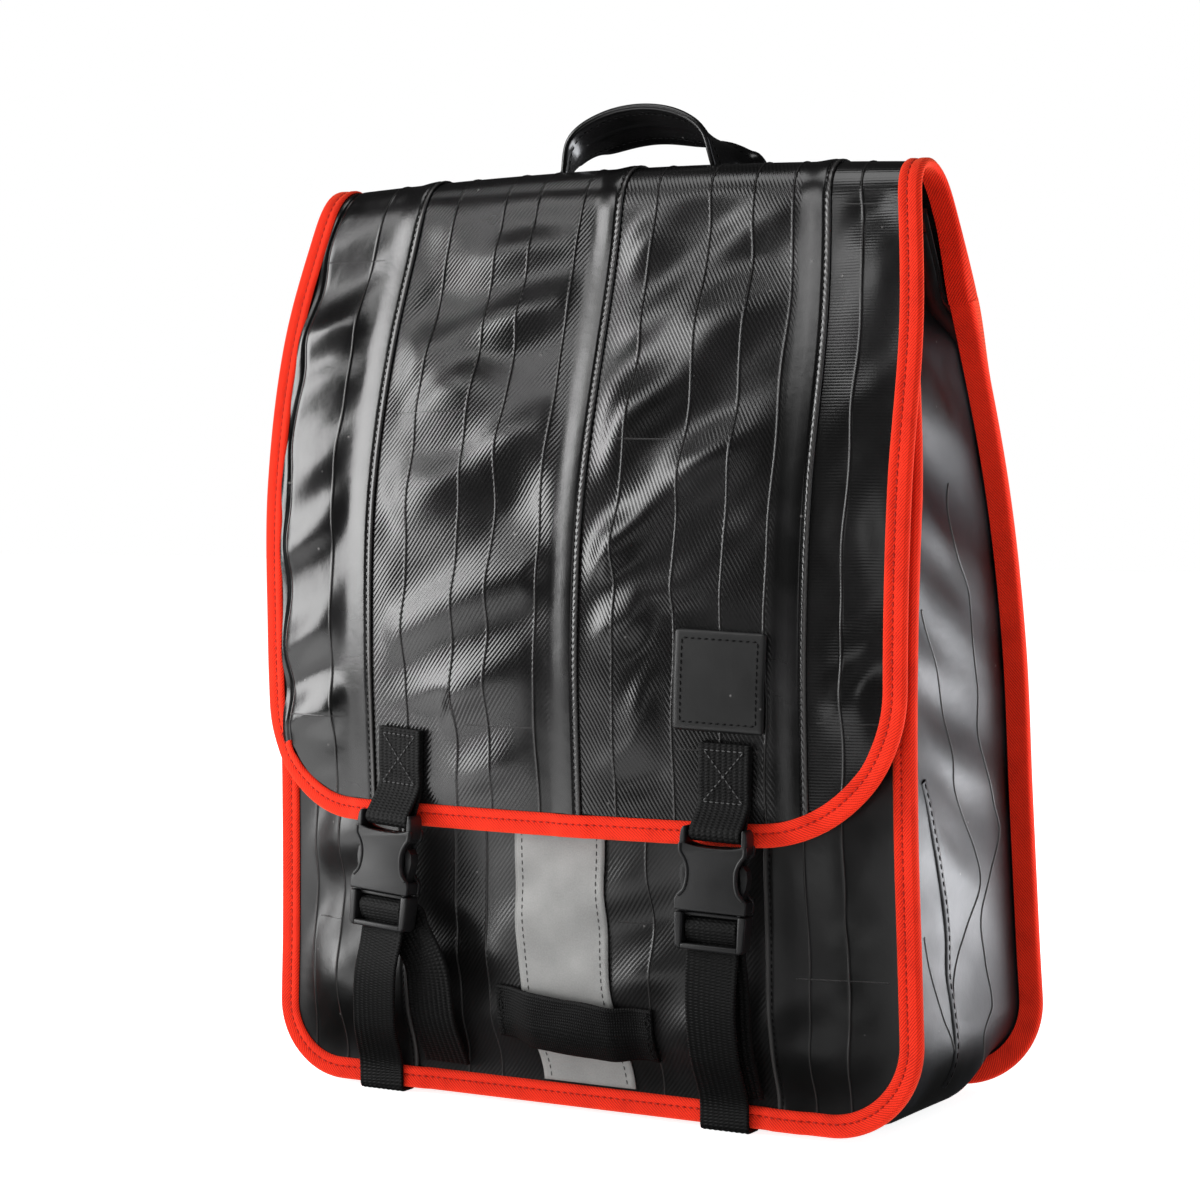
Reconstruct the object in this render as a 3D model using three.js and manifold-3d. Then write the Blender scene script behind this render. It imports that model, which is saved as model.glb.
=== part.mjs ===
// Flap-top backpack: strips of inner-tube rubber sewn edge over edge, bound with tape, closed by two buckles
import * as THREE from "three";
import Module from "manifold-3d";
import { mergeVertices } from "three/addons/utils/BufferGeometryUtils.js";

const wasm = await Module();
wasm.setup();

// Driving dimensions in millimetres: X to the right, Y to the back, Z up, the floor at zero
const HALF = 152;
const RUBBER = 1.4;
const TAPE = 1.0;
const GAP = 0.45;
const SLACK = 0.65;
const LAP = 8;
const RAMP = 3;
const LIFT = RUBBER + 0.35;
const EDGE = 1.5;
const BINDING_WIDTH = 9.4;
const BOTTOM = 2;
const FLANGE = BINDING_WIDTH + 1;
const PANEL_TOP = 357;
const BACK_TOP = 366;
const BACK_BINDING_TOP = 327.6;
const FLAP_BACK_END = 330;
const FLAP_BACK_OFFSET = 4.2;
const ARCH = { y: -27.5, z: 367.8, radius: 15.2, start: 164, end: 14 };
const CORNER = { flapLeft: 47, flapRight: 63, left: 32, right: 40 };
const FLAP_CROWN = 13;
const FLAP_STEP = 15;
const CORNER_ROWS = 120;

// Bag sections by height: half width, front seam, back seam, bulge of the front panel and of the back panel
const SECTIONS = [
  { z: 0, half: 152.3, front: -60, back: 63.5, belly: 0, hump: 0 },
  { z: 32, half: 152.3, front: -60, back: 62, belly: 8.5, hump: 3 },
  { z: 64, half: 151.4, front: -60, back: 59.5, belly: 12.5, hump: 5 },
  { z: 128, half: 150, front: -61.5, back: 54.5, belly: 11.5, hump: 6 },
  { z: 192, half: 150.2, front: -62.5, back: 46, belly: 10, hump: 6 },
  { z: 256, half: 151, front: -60, back: 26, belly: 8, hump: 4 },
  { z: 320, half: 150, front: -49, back: -2.5, belly: 4, hump: 0.6 },
  { z: 384, half: 140.5, front: -33, back: -19, belly: 0, hump: 0 },
];

// Flap profile up the front: height and depth
const FLAP_PROFILE = [
  { z: 116.6, y: -67.2 },
  { z: 150, y: -69 },
  { z: 192, y: -70.5 },
  { z: 255, y: -69 },
  { z: 319, y: -57 },
];

// Flap strips: left seam, right seam, then the pitch, depth, slant and phase of the puckers across the strip
const FLAP_STRIPS = [
  { name: "flap_strip_1", left: -152, right: -95.5, pitch: 54, depth: 1.6, slant: 0.35, phase: 0.15 },
  { name: "flap_strip_2", left: -95.5, right: 8.5, pitch: 58, depth: 2.4, slant: -0.35, phase: 0.4 },
  { name: "flap_strip_3", left: 8.5, right: 108, pitch: 64, depth: 2.2, slant: 0.5, phase: 0.0 },
  { name: "flap_strip_4", left: 108, right: 152, pitch: 58, depth: 1.3, slant: 0.3, phase: 0.6 },
];

// Places on the flap that something sewn on holds flat
const FLAP_FLATS = [
  { x: -78, z: 136, wide: 19, high: 26 },
  { x: 78, z: 136, wide: 19, high: 26 },
  { x: 76, z: 180, wide: 25, high: 25 },
];

// Front strips by their seams, and which neighbour a strip laps over where that isn't the right-hand one
const FRONT_STRIPS = [
  { name: "front_strip_left", left: -152, right: -84 },
  { name: "front_strip_middle", left: -84, right: 94, over: "none" },
  { name: "front_strip_right", left: 94, right: 152, over: "left" },
];

// Dents of the front panel: place, reach and depth, inward where the depth is positive
const FRONT_DENTS = [
  { x: -58, z: 62, wide: 24, high: 34, depth: 5 },
  { x: -112, z: 84, wide: 26, high: 20, depth: 4 },
  { x: -118, z: 44, wide: 24, high: 16, depth: -3 },
  { x: 50, z: 86, wide: 20, high: 18, depth: 3.5 },
  { x: 66, z: 42, wide: 19, high: 16, depth: -2.5 },
  { x: 116, z: 78, wide: 18, high: 22, depth: 3.5 },
];

// Folds of the gusset on each side: height, reach along it, depth inward and slope from front to back
const GUSSET_FOLDS = [
  { z: 70, reach: 22, depth: 3.6, slope: -0.45 },
  { z: 118, reach: 24, depth: -2.6, slope: -0.45 },
  { z: 165, reach: 22, depth: 3.8, slope: -0.5 },
  { z: 212, reach: 24, depth: -2.4, slope: -0.5 },
  { z: 262, reach: 24, depth: 3.4, slope: -0.4 },
];

// Fastening, straps and handle
const CLOSURE = { x: 76, barOut: 8.4 };
const TAB = { width: 22, thick: 2.8, top: 156.6, sewnDown: 132.6 };
const STRAP = { width: 22, thick: 1.4 };
const BUCKLE = {
  bar: 1.6, ring: 3.4, thick: 9.5, slot: 12.6, slotLow: -4.4,
  socketEnd: -30.6, plugTop: -31.2, plugEnd: -45.8,
};
const REFLECTIVE = { x: -2, width: 43, thick: 0.8, low: 12.6, high: 136, drift: 7 };
const LIGHT_LOOP = { x: 3, z: 37, width: 74, height: 21, thick: 1.4, stand: 3, slope: -0.06 };
const PATCH = { x: 76, z: 181, size: 39, thick: 1.8, turn: 0.04 };
const HANDLE = { width: 24.5, thick: 2.6, foot: 49 };
const PAD = { width: 52, thick: 10, sewn: 3 };
const WEBBING = { width: 25, thick: 1.5 };

// Tables read as smooth curves
const curveOf = (rows, name) => {
  const curve = new THREE.CubicInterpolant(rows.map((row) => row.z), rows.map((row) => row[name]), 1);
  return (z) => curve.evaluate(THREE.MathUtils.clamp(z, rows[0].z, rows.at(-1).z))[0];
};
const half = curveOf(SECTIONS, "half");
const front = curveOf(SECTIONS, "front");
const back = curveOf(SECTIONS, "back");
const belly = curveOf(SECTIONS, "belly");
const hump = curveOf(SECTIONS, "hump");
const { clamp, lerp, smoothstep, degToRad } = THREE.MathUtils;
const vector = (x, y, z) => new THREE.Vector3(x, y, z);
const steps = (from, to, count) => Array.from({ length: count + 1 }, (_, i) => lerp(from, to, i / count));

// Solids
const bag = new THREE.Group();
bag.name = "backpack";

const FINISHES = {
  rubber: { color: 0x17181a, roughness: 0.45 },
  panel: { color: 0x1c1d1f, roughness: 0.5 },
  tape: { color: 0xf0401c, roughness: 0.85 },
  webbing: { color: 0x161617, roughness: 0.9 },
  plastic: { color: 0x101011, roughness: 0.4 },
  reflective: { color: 0x9a9ea3, roughness: 0.5 },
  elastic: { color: 0x1d1d1f, roughness: 0.9 },
  pad: { color: 0x1a1a1c, roughness: 0.9 },
};

function add(name, geometry, finish, parent = bag) {
  const mesh = new THREE.Mesh(geometry, new THREE.MeshStandardMaterial(FINISHES[finish]));
  mesh.name = name;
  parent.add(mesh);
  return mesh;
}

function closed(points, index) {
  let volume = 0;
  for (let i = 0; i < index.length; i += 3) {
    const [a, b, c] = [points[index[i]], points[index[i + 1]], points[index[i + 2]]];
    volume += a.dot(vector().crossVectors(b, c));
  }
  const faces = volume < 0 ? index.slice().reverse() : index;
  const geometry = new THREE.BufferGeometry().setFromPoints(points);
  geometry.setIndex(faces);
  geometry.computeVertexNormals();
  return geometry;
}

// A wall of even thickness between an outer and an inner grid of points
function wall(columns, rows, place) {
  const outer = [];
  const inner = [];
  for (let j = 0; j <= rows; j += 1) {
    for (let i = 0; i <= columns; i += 1) {
      const pair = place(i, j);
      outer.push(pair.outer);
      inner.push(pair.inner);
    }
  }
  const under = outer.length;
  const at = (i, j) => j * (columns + 1) + i;
  const index = [];
  const quad = (a, b, c, d) => index.push(a, b, c, a, c, d);
  for (let j = 0; j < rows; j += 1) {
    for (let i = 0; i < columns; i += 1) {
      const [a, b, c, d] = [at(i, j), at(i + 1, j), at(i + 1, j + 1), at(i, j + 1)];
      quad(a, b, c, d);
      index.push(c + under, b + under, a + under, d + under, c + under, a + under);
    }
  }
  const rim = (a, b) => quad(b, a, a + under, b + under);
  for (let i = 0; i < columns; i += 1) {
    rim(at(i, 0), at(i + 1, 0));
    rim(at(i + 1, rows), at(i, rows));
  }
  for (let j = 0; j < rows; j += 1) {
    rim(at(0, j + 1), at(0, j));
    rim(at(columns, j), at(columns, j + 1));
  }
  return closed(outer.concat(inner), index);
}

// A section swept through stations; each station turns a section point into a place
function sweep(outline, stations) {
  const section = THREE.ShapeUtils.isClockWise(outline) ? outline.toReversed() : outline;
  const count = section.length;
  const points = stations.flatMap((place) => section.map((point) => place(point)));
  const index = [];
  for (let k = 0; k + 1 < stations.length; k += 1) {
    for (let i = 0; i < count; i += 1) {
      const next = (i + 1) % count;
      const [a, b] = [k * count + i, k * count + next];
      index.push(a, b, b + count, a, b + count, a + count);
    }
  }
  const last = (stations.length - 1) * count;
  for (const [a, b, c] of THREE.ShapeUtils.triangulateShape(section, [])) {
    index.push(c, b, a, last + a, last + b, last + c);
  }
  return closed(points, index);
}

// Outward frame of a surface given by two parameters
function frameOf(surface, a, b) {
  const e = 0.4;
  const across = surface(a + e, b).sub(surface(a - e, b)).normalize();
  const along = surface(a, b + e).sub(surface(a, b - e)).normalize();
  const normal = vector().crossVectors(across, along).normalize();
  return { point: surface(a, b), across, along, normal };
}

// Flap: its profile runs up the front, over the arch and a little way down the back
const archPoint = (degrees) => new THREE.Vector2(
  ARCH.y + ARCH.radius * Math.cos(degToRad(degrees)),
  ARCH.z + ARCH.radius * Math.sin(degToRad(degrees)),
);
const flapPath = new THREE.CurvePath();
flapPath.add(new THREE.SplineCurve(
  FLAP_PROFILE.map((row) => new THREE.Vector2(row.y, row.z)).concat(archPoint(ARCH.start)),
));
flapPath.add(new THREE.EllipseCurve(
  ARCH.y, ARCH.z, ARCH.radius, ARCH.radius, degToRad(ARCH.start), degToRad(ARCH.end), true,
));
const flapHem = new THREE.Vector2(back(FLAP_BACK_END) + FLAP_BACK_OFFSET, FLAP_BACK_END);
flapPath.add(new THREE.LineCurve(archPoint(ARCH.end), flapHem));
const flapLength = flapPath.getLength();
const [flapFront, flapOver] = flapPath.getCurveLengths();

function flapProfile(s) {
  const t = clamp(s / flapLength, 0, 1);
  const point = flapPath.getPoint(t);
  const before = flapPath.getPoint(Math.max(t - 0.002, 0));
  const after = flapPath.getPoint(Math.min(t + 0.002, 1));
  const along = after.sub(before).normalize();
  const overrun = s - t * flapLength;
  return { y: point.x + along.x * overrun, z: point.y + along.y * overrun, outY: -along.y, outZ: along.x };
}

function flatness(x, z, places) {
  return places.reduce((kept, place) => {
    const far = Math.max(Math.abs(x - place.x) / place.wide, Math.abs(z - place.z) / place.high);
    return kept * smoothstep(far, 1, 1.7);
  }, 1);
}

function flapPucker(x, s, z) {
  const strip = FLAP_STRIPS.find((row) => x <= row.right) ?? FLAP_STRIPS.at(-1);
  const t = (x - strip.left) / (strip.right - strip.left);
  const margin = Math.min(
    x - strip.left - (strip.left <= -HALF ? BINDING_WIDTH : LAP / 2),
    strip.right - x - (strip.right >= HALF ? BINDING_WIDTH : LAP),
  );
  const ends = smoothstep(s, 14, 40) * (1 - smoothstep(s, flapFront - 50, flapFront));
  const kept = smoothstep(margin, 0, 20) * ends;
  const wave = Math.cos(2 * Math.PI * (s / strip.pitch + strip.slant * t + strip.phase));
  return strip.depth * wave * kept * flatness(x, z, FLAP_FLATS);
}

function flap(x, s) {
  const row = flapProfile(s);
  const crown = FLAP_CROWN * (1 - (x / HALF) ** 2) * (1 - smoothstep(s, 60, flapFront));
  const swell = crown + flapPucker(x, s, row.z);
  return vector((x / HALF) * half(row.z), row.y + row.outY * swell, row.z + row.outZ * swell);
}

const flapEdge = HALF - EDGE;
const cornerOf = (x, left, right) => (x < 0 ? left : right) - EDGE;
function lowerEdge(x, radius, edge, low) {
  const into = Math.abs(x) - (edge - radius);
  return into <= 0 ? low : low + radius - Math.sqrt(Math.max(radius ** 2 - into ** 2, 0));
}
const flapLow = (x) => lowerEdge(x, cornerOf(x, CORNER.flapLeft, CORNER.flapRight), flapEdge, EDGE);

const flapRows = [
  ...steps(0, CORNER_ROWS, CORNER_ROWS / FLAP_STEP),
  ...steps(CORNER_ROWS, flapFront, Math.round((flapFront - CORNER_ROWS) / FLAP_STEP)).slice(1),
  ...steps(flapFront, flapOver, 4).slice(1),
  ...steps(flapOver, flapLength, 2).slice(1),
];
const lowRow = (low, row, blend) => (row >= blend ? row : lerp(low, blend, row / blend));
const flapS = (x, row) => lowRow(flapLow(x), flapRows[row], CORNER_ROWS);

// Columns of a strip: bent ones round a lower corner, a lap where it goes over a neighbour
function stripColumns(strip, edge, leftRadius, rightRadius, between) {
  const bend = (radius, angles) => angles.map((angle) => edge - radius + radius * Math.sin(degToRad(angle)));
  const columns = [];
  const ramp = LAP / 2 + RAMP;
  if (strip.left <= -HALF) {
    columns.push(...bend(leftRadius, [90, 72, 52, 28, 0]).map((x) => ({ x: -x, lift: 0 })));
  } else {
    const lift = strip.over === "left" ? LIFT : 0;
    columns.push({ x: strip.left - LAP / 2, lift }, { x: strip.left + LAP / 2, lift });
    if (lift) columns.push({ x: strip.left + ramp, lift: 0 });
  }
  if (strip.right >= HALF) {
    const outer = bend(rightRadius, [0, 28, 52, 72, 90]).filter((x) => x > strip.left + LAP);
    columns.push(...outer.map((x) => ({ x, lift: 0 })));
  } else {
    while (columns.at(-1).x > strip.right - ramp - 3) columns.pop();
    const from = columns.at(-1).x;
    const lift = strip.over === "none" ? 0 : LIFT;
    const to = strip.right - (lift ? ramp : LAP / 2 + LAP);
    const count = Math.max(1, Math.round((to - from) / between));
    columns.push(...steps(from, to, count).slice(1).map((x) => ({ x, lift: 0 })));
    columns.push({ x: strip.right - LAP / 2, lift }, { x: strip.right + LAP / 2, lift });
  }
  return columns;
}

const shell = (frame, lift) => ({
  outer: frame.point.clone().addScaledVector(frame.normal, lift),
  inner: frame.point.clone().addScaledVector(frame.normal, lift - RUBBER),
});

const flapColumns = [];
for (const strip of FLAP_STRIPS) {
  const columns = stripColumns(strip, flapEdge, CORNER.flapLeft - EDGE, CORNER.flapRight - EDGE, 26);
  flapColumns.push(...columns);
  add(strip.name, wall(columns.length - 1, flapRows.length - 1, (i, j) => (
    shell(frameOf(flap, columns[i].x, flapS(columns[i].x, j)), columns[i].lift)
  )), "rubber");
}

// Binding tape: a folded section that holds the edge of one layer of rubber or of two
const bindingSection = (layers) => {
  const low = -(layers * RUBBER + (layers - 1) * GAP + SLACK);
  const inside = EDGE - BINDING_WIDTH;
  return [
    [inside, SLACK + TAPE], [EDGE, SLACK + TAPE], [EDGE, low - TAPE], [inside, low - TAPE],
    [inside, low], [SLACK, low], [SLACK, SLACK], [inside, SLACK],
  ].map(([o, n]) => new THREE.Vector2(o, n));
};

function bindingStation(surface, { a, b, outA, outB, lift }) {
  const frame = frameOf(surface, a, b);
  const out = frame.across.clone().multiplyScalar(outA).addScaledVector(frame.along, outB).normalize();
  return (point) => frame.point.clone()
    .addScaledVector(out, point.x)
    .addScaledVector(frame.normal, point.y > 0 ? point.y + lift : point.y);
}

// Where a lap lifts the tape: a slow rise over the ramp and a quick fall past the lapped edge, which
// comes later round a corner, where the tape's inner edge lies nearer the middle
const lapZones = (strips) => strips.slice(0, -1).map((strip, i) => {
  const way = strips[i + 1].over === "left" ? -1 : 1;
  const past = Math.abs(strip.right) > 100 ? RAMP : 0.3;
  const rise = strip.right - way * (LAP / 2 + RAMP);
  const fall = strip.right + way * (LAP / 2 + past);
  return { rise, fall, before: rise - 4 * way, after: fall + (past + 2) * way };
});
function edgeLift(x, strips) {
  const lapped = ({ rise, fall }) => Math.abs(2 * x - rise - fall) <= Math.abs(fall - rise) + 0.2;
  return lapZones(strips).some(lapped) ? LIFT : 0;
}
const lapStations = (strips) => lapZones(strips).flatMap(
  ({ before, rise, fall, after }) => [before, rise, fall, after],
);

// Stations down the left edge, round the lower corners and up the right edge
function edgeStations({ edge, low, leftRadius, rightRadius, leftRows, rightRows, columns, strips }) {
  const laps = lapStations(strips);
  const bends = (sign, radius) => {
    const lapped = laps
      .map((x) => (sign * x - (edge - radius)) / radius)
      .filter((sine) => sine > 0.02 && sine < 0.95)
      .map((sine) => THREE.MathUtils.radToDeg(Math.asin(sine)));
    const plain = [72, 52, 28, 0].filter((angle) => lapped.every((lap) => Math.abs(lap - angle) > 2));
    return [...plain, ...lapped].sort((p, q) => q - p);
  };
  const side = (sign, rows) => rows.map((b) => ({ a: sign * edge, b, outA: sign, outB: 0, lift: 0 }));
  const corner = (sign, radius) => bends(sign, radius).map((angle) => {
    const [sine, cosine] = [Math.sin(degToRad(angle)), Math.cos(degToRad(angle))];
    const [a, b] = [sign * (edge - radius + radius * sine), low + radius - radius * cosine];
    return { a, b, outA: sign * sine, outB: -cosine, lift: edgeLift(a, strips) };
  });
  const bottom = [...columns.filter((x) => laps.every((lap) => Math.abs(lap - x) > 3)), ...laps]
    .filter((x) => x > leftRadius - edge + 1 && x < edge - rightRadius - 1)
    .sort((p, q) => p - q)
    .map((a) => ({ a, b: low, outA: 0, outB: -1, lift: edgeLift(a, strips) }));
  return [
    ...side(-1, leftRows).reverse(),
    ...corner(-1, leftRadius),
    ...bottom,
    ...corner(1, rightRadius).reverse(),
    ...side(1, rightRows),
  ];
}

const flapLeftRadius = CORNER.flapLeft - EDGE;
const flapRightRadius = CORNER.flapRight - EDGE;
const flapSide = (x) => flapRows
  .filter((row, i) => row > flapFront - FLAP_STEP || i % 2 === 0)
  .map((row) => lowRow(flapLow(x), row, CORNER_ROWS));
const flapStations = edgeStations({
  edge: flapEdge, low: EDGE, leftRadius: flapLeftRadius, rightRadius: flapRightRadius,
  leftRows: flapSide(-flapEdge), rightRows: flapSide(flapEdge),
  columns: steps(-80, 80, 7), strips: FLAP_STRIPS,
});
const tapeOn = (surface, layers, stations) => sweep(
  bindingSection(layers), stations.map((row) => bindingStation(surface, row)),
);
add("flap_binding", tapeOn(flap, 1, flapStations), "tape");

// Front panel
function dentAt(x, z, dents) {
  return dents.reduce((sum, dent) => {
    const far = Math.hypot((x - dent.x) / dent.wide, (z - dent.z) / dent.high);
    return sum + dent.depth * (1 - smoothstep(far, 0, 1.25));
  }, 0);
}

// How far a place lies in from the rounded outline of the front or back panel
function panelInset(x, z) {
  const radius = x < 0 ? CORNER.left : CORNER.right;
  const [into, under] = [Math.abs(x) - (HALF - radius), BOTTOM + radius - z];
  if (into > 0 && under > 0) return radius - Math.hypot(into, under);
  return Math.min(HALF - Math.abs(x), z - BOTTOM);
}
const pillow = (x, z, reach) => smoothstep(panelInset(x, z), BINDING_WIDTH, BINDING_WIDTH + reach);

function frontPanel(x, z) {
  const u = x / HALF;
  const bulge = belly(z) * (1 - Math.abs(u) ** 2.6) * pillow(x, z, 27);
  return vector(u * half(z), front(z) - bulge + dentAt(x, z, FRONT_DENTS) * pillow(x, z, 16), z);
}

const panelLow = (x) => lowerEdge(x, cornerOf(x, CORNER.left, CORNER.right), flapEdge, BOTTOM + EDGE);
const panelRows = [...steps(0, 126, 9), 160, 195, 230, 262, 293, BACK_BINDING_TOP, PANEL_TOP];
const panelZ = (x, row) => lowRow(panelLow(x), row, 126);
for (const strip of FRONT_STRIPS) {
  const columns = stripColumns(strip, flapEdge, CORNER.left - EDGE, CORNER.right - EDGE, 30);
  add(strip.name, wall(columns.length - 1, panelRows.length - 1, (i, j) => (
    shell(frameOf(frontPanel, columns[i].x, panelZ(columns[i].x, panelRows[j])), columns[i].lift)
  )), "rubber");
}

const panelLeftRadius = CORNER.left - EDGE;
const panelRightRadius = CORNER.right - EDGE;
const panelStations = (top, columns, strips) => {
  const rows = panelRows.filter((row) => row <= top);
  return edgeStations({
    edge: flapEdge, low: BOTTOM + EDGE, leftRadius: panelLeftRadius, rightRadius: panelRightRadius,
    leftRows: rows.map((row) => panelZ(-flapEdge, row)).filter((_, i) => i % 2 === 0 || rows[i] >= 126),
    rightRows: rows.map((row) => panelZ(flapEdge, row)).filter((_, i) => i % 2 === 0 || rows[i] >= 126),
    columns, strips,
  });
};

const frontStations = panelStations(PANEL_TOP, steps(-66, 66, 4), FRONT_STRIPS);
add("front_binding", tapeOn(frontPanel, 2, frontStations), "tape");

// Back panel, seen from behind, so its first parameter runs from right to left
function backPanel(a, z) {
  const u = a / HALF;
  return vector(-u * half(z), back(z) + hump(z) * (1 - u ** 2) * pillow(-a, z, 27), z);
}
const backLow = (a) => panelLow(-a);
const backRows = [...panelRows.filter((row, i) => i % 2 === 0 || i === 1 || row >= 126), BACK_TOP];
const backColumns = [-90, -72, -52, -28, 0].map((angle) => Math.sin(degToRad(angle)));
const backXs = [
  ...backColumns.map((sine) => -(flapEdge - panelRightRadius) + panelRightRadius * sine),
  ...steps(-(flapEdge - panelRightRadius), flapEdge - panelLeftRadius, 5).slice(1, -1),
  ...backColumns.toReversed().map((sine) => flapEdge - panelLeftRadius - panelLeftRadius * sine),
];
add("back_panel", wall(backXs.length - 1, backRows.length - 1, (i, j) => {
  const z = lowRow(backLow(backXs[i]), backRows[j], 126);
  return shell(frameOf(backPanel, backXs[i], z), 0);
}), "panel");

const mirrored = (row) => ({ ...row, a: -row.a, outA: -row.outA });
const backStations = panelStations(BACK_BINDING_TOP, steps(-80, 80, 4), [{}]).map(mirrored);
add("back_binding", tapeOn(backPanel, 2, backStations), "tape");

// Gusset: down the left side, along the bottom and up the right side, with a flange along each seam
const gussetStations = panelStations(PANEL_TOP, steps(-80, 80, 4), [{}]);
const ACROSS = [0, 0.08, 0.3, 0.5, 0.7, 0.92, 1];
const SEAM_DEPTH = 2 * RUBBER + GAP;

// A point of the flange on either seam, a given way in from the panel's edge
function flangePoint(surface, { a, b, outA, outB }, inset) {
  const frame = frameOf(surface, a, b);
  const out = frame.across.multiplyScalar(outA).addScaledVector(frame.along, outB).normalize();
  return frame.point.addScaledVector(out, -inset).addScaledVector(frame.normal, -SEAM_DEPTH);
}

function gussetPoint(station, column) {
  const last = ACROSS.length + 1;
  const behind = { ...station, a: -station.a, outA: -station.outA };
  if (column === 0) return flangePoint(frontPanel, station, EDGE);
  if (column === last) return flangePoint(backPanel, behind, EDGE);
  const { b, outA, outB } = station;
  const t = ACROSS[column - 1];
  const point = flangePoint(frontPanel, station, FLANGE - EDGE)
    .lerp(flangePoint(backPanel, behind, FLANGE - EDGE), t);
  const drop = outB === -1 ? point.z : FLANGE + BOTTOM;
  const low = outB ** 2 * drop * smoothstep(t, 0, 0.29) * (1 - smoothstep(t, 0.71, 1));
  const sideways = 1 - outB ** 2;
  const fold = GUSSET_FOLDS.reduce((sum, row) => {
    const away = b - row.z - row.slope * (t - 0.5) * 90;
    return sum + row.depth * (1 - smoothstep(Math.abs(away), 0, row.reach));
  }, 0);
  const move = low - (fold + 3) * sideways * Math.sin(Math.PI * t);
  return point.add(vector(outA * move, 0, outB * move));
}

add("gusset", wall(ACROSS.length + 1, gussetStations.length - 1, (i, j) => {
  const point = gussetPoint(gussetStations[j], i);
  const side = (k) => gussetPoint(gussetStations[j], clamp(k, 0, ACROSS.length + 1));
  const along = (k) => gussetPoint(gussetStations[clamp(k, 0, gussetStations.length - 1)], i);
  const normal = side(i + 1).sub(side(i - 1)).cross(along(j + 1).sub(along(j - 1))).normalize();
  return { outer: point, inner: point.clone().addScaledVector(normal, -RUBBER) };
}), "rubber");

// Reflective strip up the middle of the front panel
const sheetOn = (surface, xs, zs, clear, thick) => wall(xs.length - 1, zs.length - 1, (i, j) => {
  const frame = frameOf(surface, xs[i], zs[j]);
  return {
    outer: frame.point.clone().addScaledVector(frame.normal, clear + thick),
    inner: frame.point.clone().addScaledVector(frame.normal, clear),
  };
});
const stripHalf = REFLECTIVE.width / 2;
const stripRows = [REFLECTIVE.low, ...panelRows.map((row) => panelZ(0, row))]
  .filter((z) => z >= REFLECTIVE.low && z <= REFLECTIVE.high);
const drifted = (x, z) => frontPanel(REFLECTIVE.x + x + REFLECTIVE.drift * (1 - smoothstep(z, -5, 85)), z);
add("reflective_strip", sheetOn(
  drifted, steps(-stripHalf, stripHalf, 3), stripRows, GAP, REFLECTIVE.thick,
), "reflective");

// Light loop: sewn down at both ends, standing a little off the strip between them
const loopXs = steps(-LIGHT_LOOP.width / 2, LIGHT_LOOP.width / 2, 9);
const loopZs = steps(-LIGHT_LOOP.height / 2, LIGHT_LOOP.height / 2, 2);
add("light_loop", wall(loopXs.length - 1, loopZs.length - 1, (i, j) => {
  const x = LIGHT_LOOP.x + loopXs[i];
  const z = LIGHT_LOOP.z + loopZs[j] + LIGHT_LOOP.slope * loopXs[i];
  const frame = frameOf(frontPanel, x, z);
  const near = Math.abs(loopXs[i]) / (LIGHT_LOOP.width / 2);
  const over = 2 * GAP + (REFLECTIVE.thick + GAP + LIGHT_LOOP.stand) * (1 - smoothstep(near, 0.45, 0.85));
  return {
    outer: frame.point.clone().addScaledVector(frame.normal, over + LIGHT_LOOP.thick),
    inner: frame.point.clone().addScaledVector(frame.normal, over),
  };
}), "elastic");

// Bare patch on the flap
const flapAtHeight = (z) => {
  const near = steps(0, flapFront, 200);
  const away = (s) => Math.abs(flapProfile(s).z - z);
  return near.reduce((best, s) => (away(s) < away(best) ? s : best), 0);
};
const patchS = flapAtHeight(PATCH.z);
const patchSteps = steps(-PATCH.size / 2, PATCH.size / 2, 3);
add("patch", wall(3, 3, (i, j) => {
  const [dx, ds] = [patchSteps[i], patchSteps[j]];
  const frame = frameOf(flap, PATCH.x + dx + PATCH.turn * ds, patchS + ds - PATCH.turn * dx);
  return {
    outer: frame.point.clone().addScaledVector(frame.normal, SLACK + PATCH.thick),
    inner: frame.point.clone().addScaledVector(frame.normal, SLACK),
  };
}), "rubber");

// Buckle solids are joined and cut as closed bodies
const { Manifold, Mesh } = wasm;
function body(geometry) {
  const bare = new THREE.BufferGeometry();
  bare.setAttribute("position", geometry.getAttribute("position").clone());
  if (geometry.index) bare.setIndex(geometry.index.clone());
  const merged = mergeVertices(bare, 1e-4);
  return new Manifold(new Mesh({
    numProp: 3,
    vertProperties: new Float32Array(merged.getAttribute("position").array),
    triVerts: new Uint32Array(merged.index.array),
  }));
}
function shapeOf(solid) {
  const mesh = solid.getMesh();
  const geometry = new THREE.BufferGeometry();
  geometry.setAttribute("position", new THREE.BufferAttribute(new Float32Array(mesh.vertProperties), 3));
  geometry.setIndex(Array.from(mesh.triVerts));
  geometry.computeVertexNormals();
  return geometry;
}
const block = (wide, from, to, near, far) => body(
  new THREE.BoxGeometry(2 * wide, far - near, to - from).translate(0, (near + far) / 2, (from + to) / 2),
);
const rod = (radius, reach, y, z) => body(
  new THREE.CylinderGeometry(radius, radius, 2 * reach, 12).rotateZ(Math.PI / 2).translate(0, y, z),
);

// A plate with a symmetric outline given by its right-hand half, from the top down
function plate(outline, near, far, bevel) {
  const shape = new THREE.Shape();
  const right = outline.map((row) => new THREE.Vector2(row.x, row.z));
  const left = outline.toReversed().map((row) => new THREE.Vector2(-row.x, row.z));
  shape.setFromPoints(right.concat(left).toReversed());
  const geometry = new THREE.ExtrudeGeometry(shape, {
    depth: far - near - 2 * bevel, bevelEnabled: bevel > 0, bevelThickness: bevel, bevelSize: bevel,
    bevelOffset: -bevel, bevelSegments: 1,
  });
  return body(geometry.rotateX(Math.PI / 2).translate(0, far - bevel, 0));
}

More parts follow.
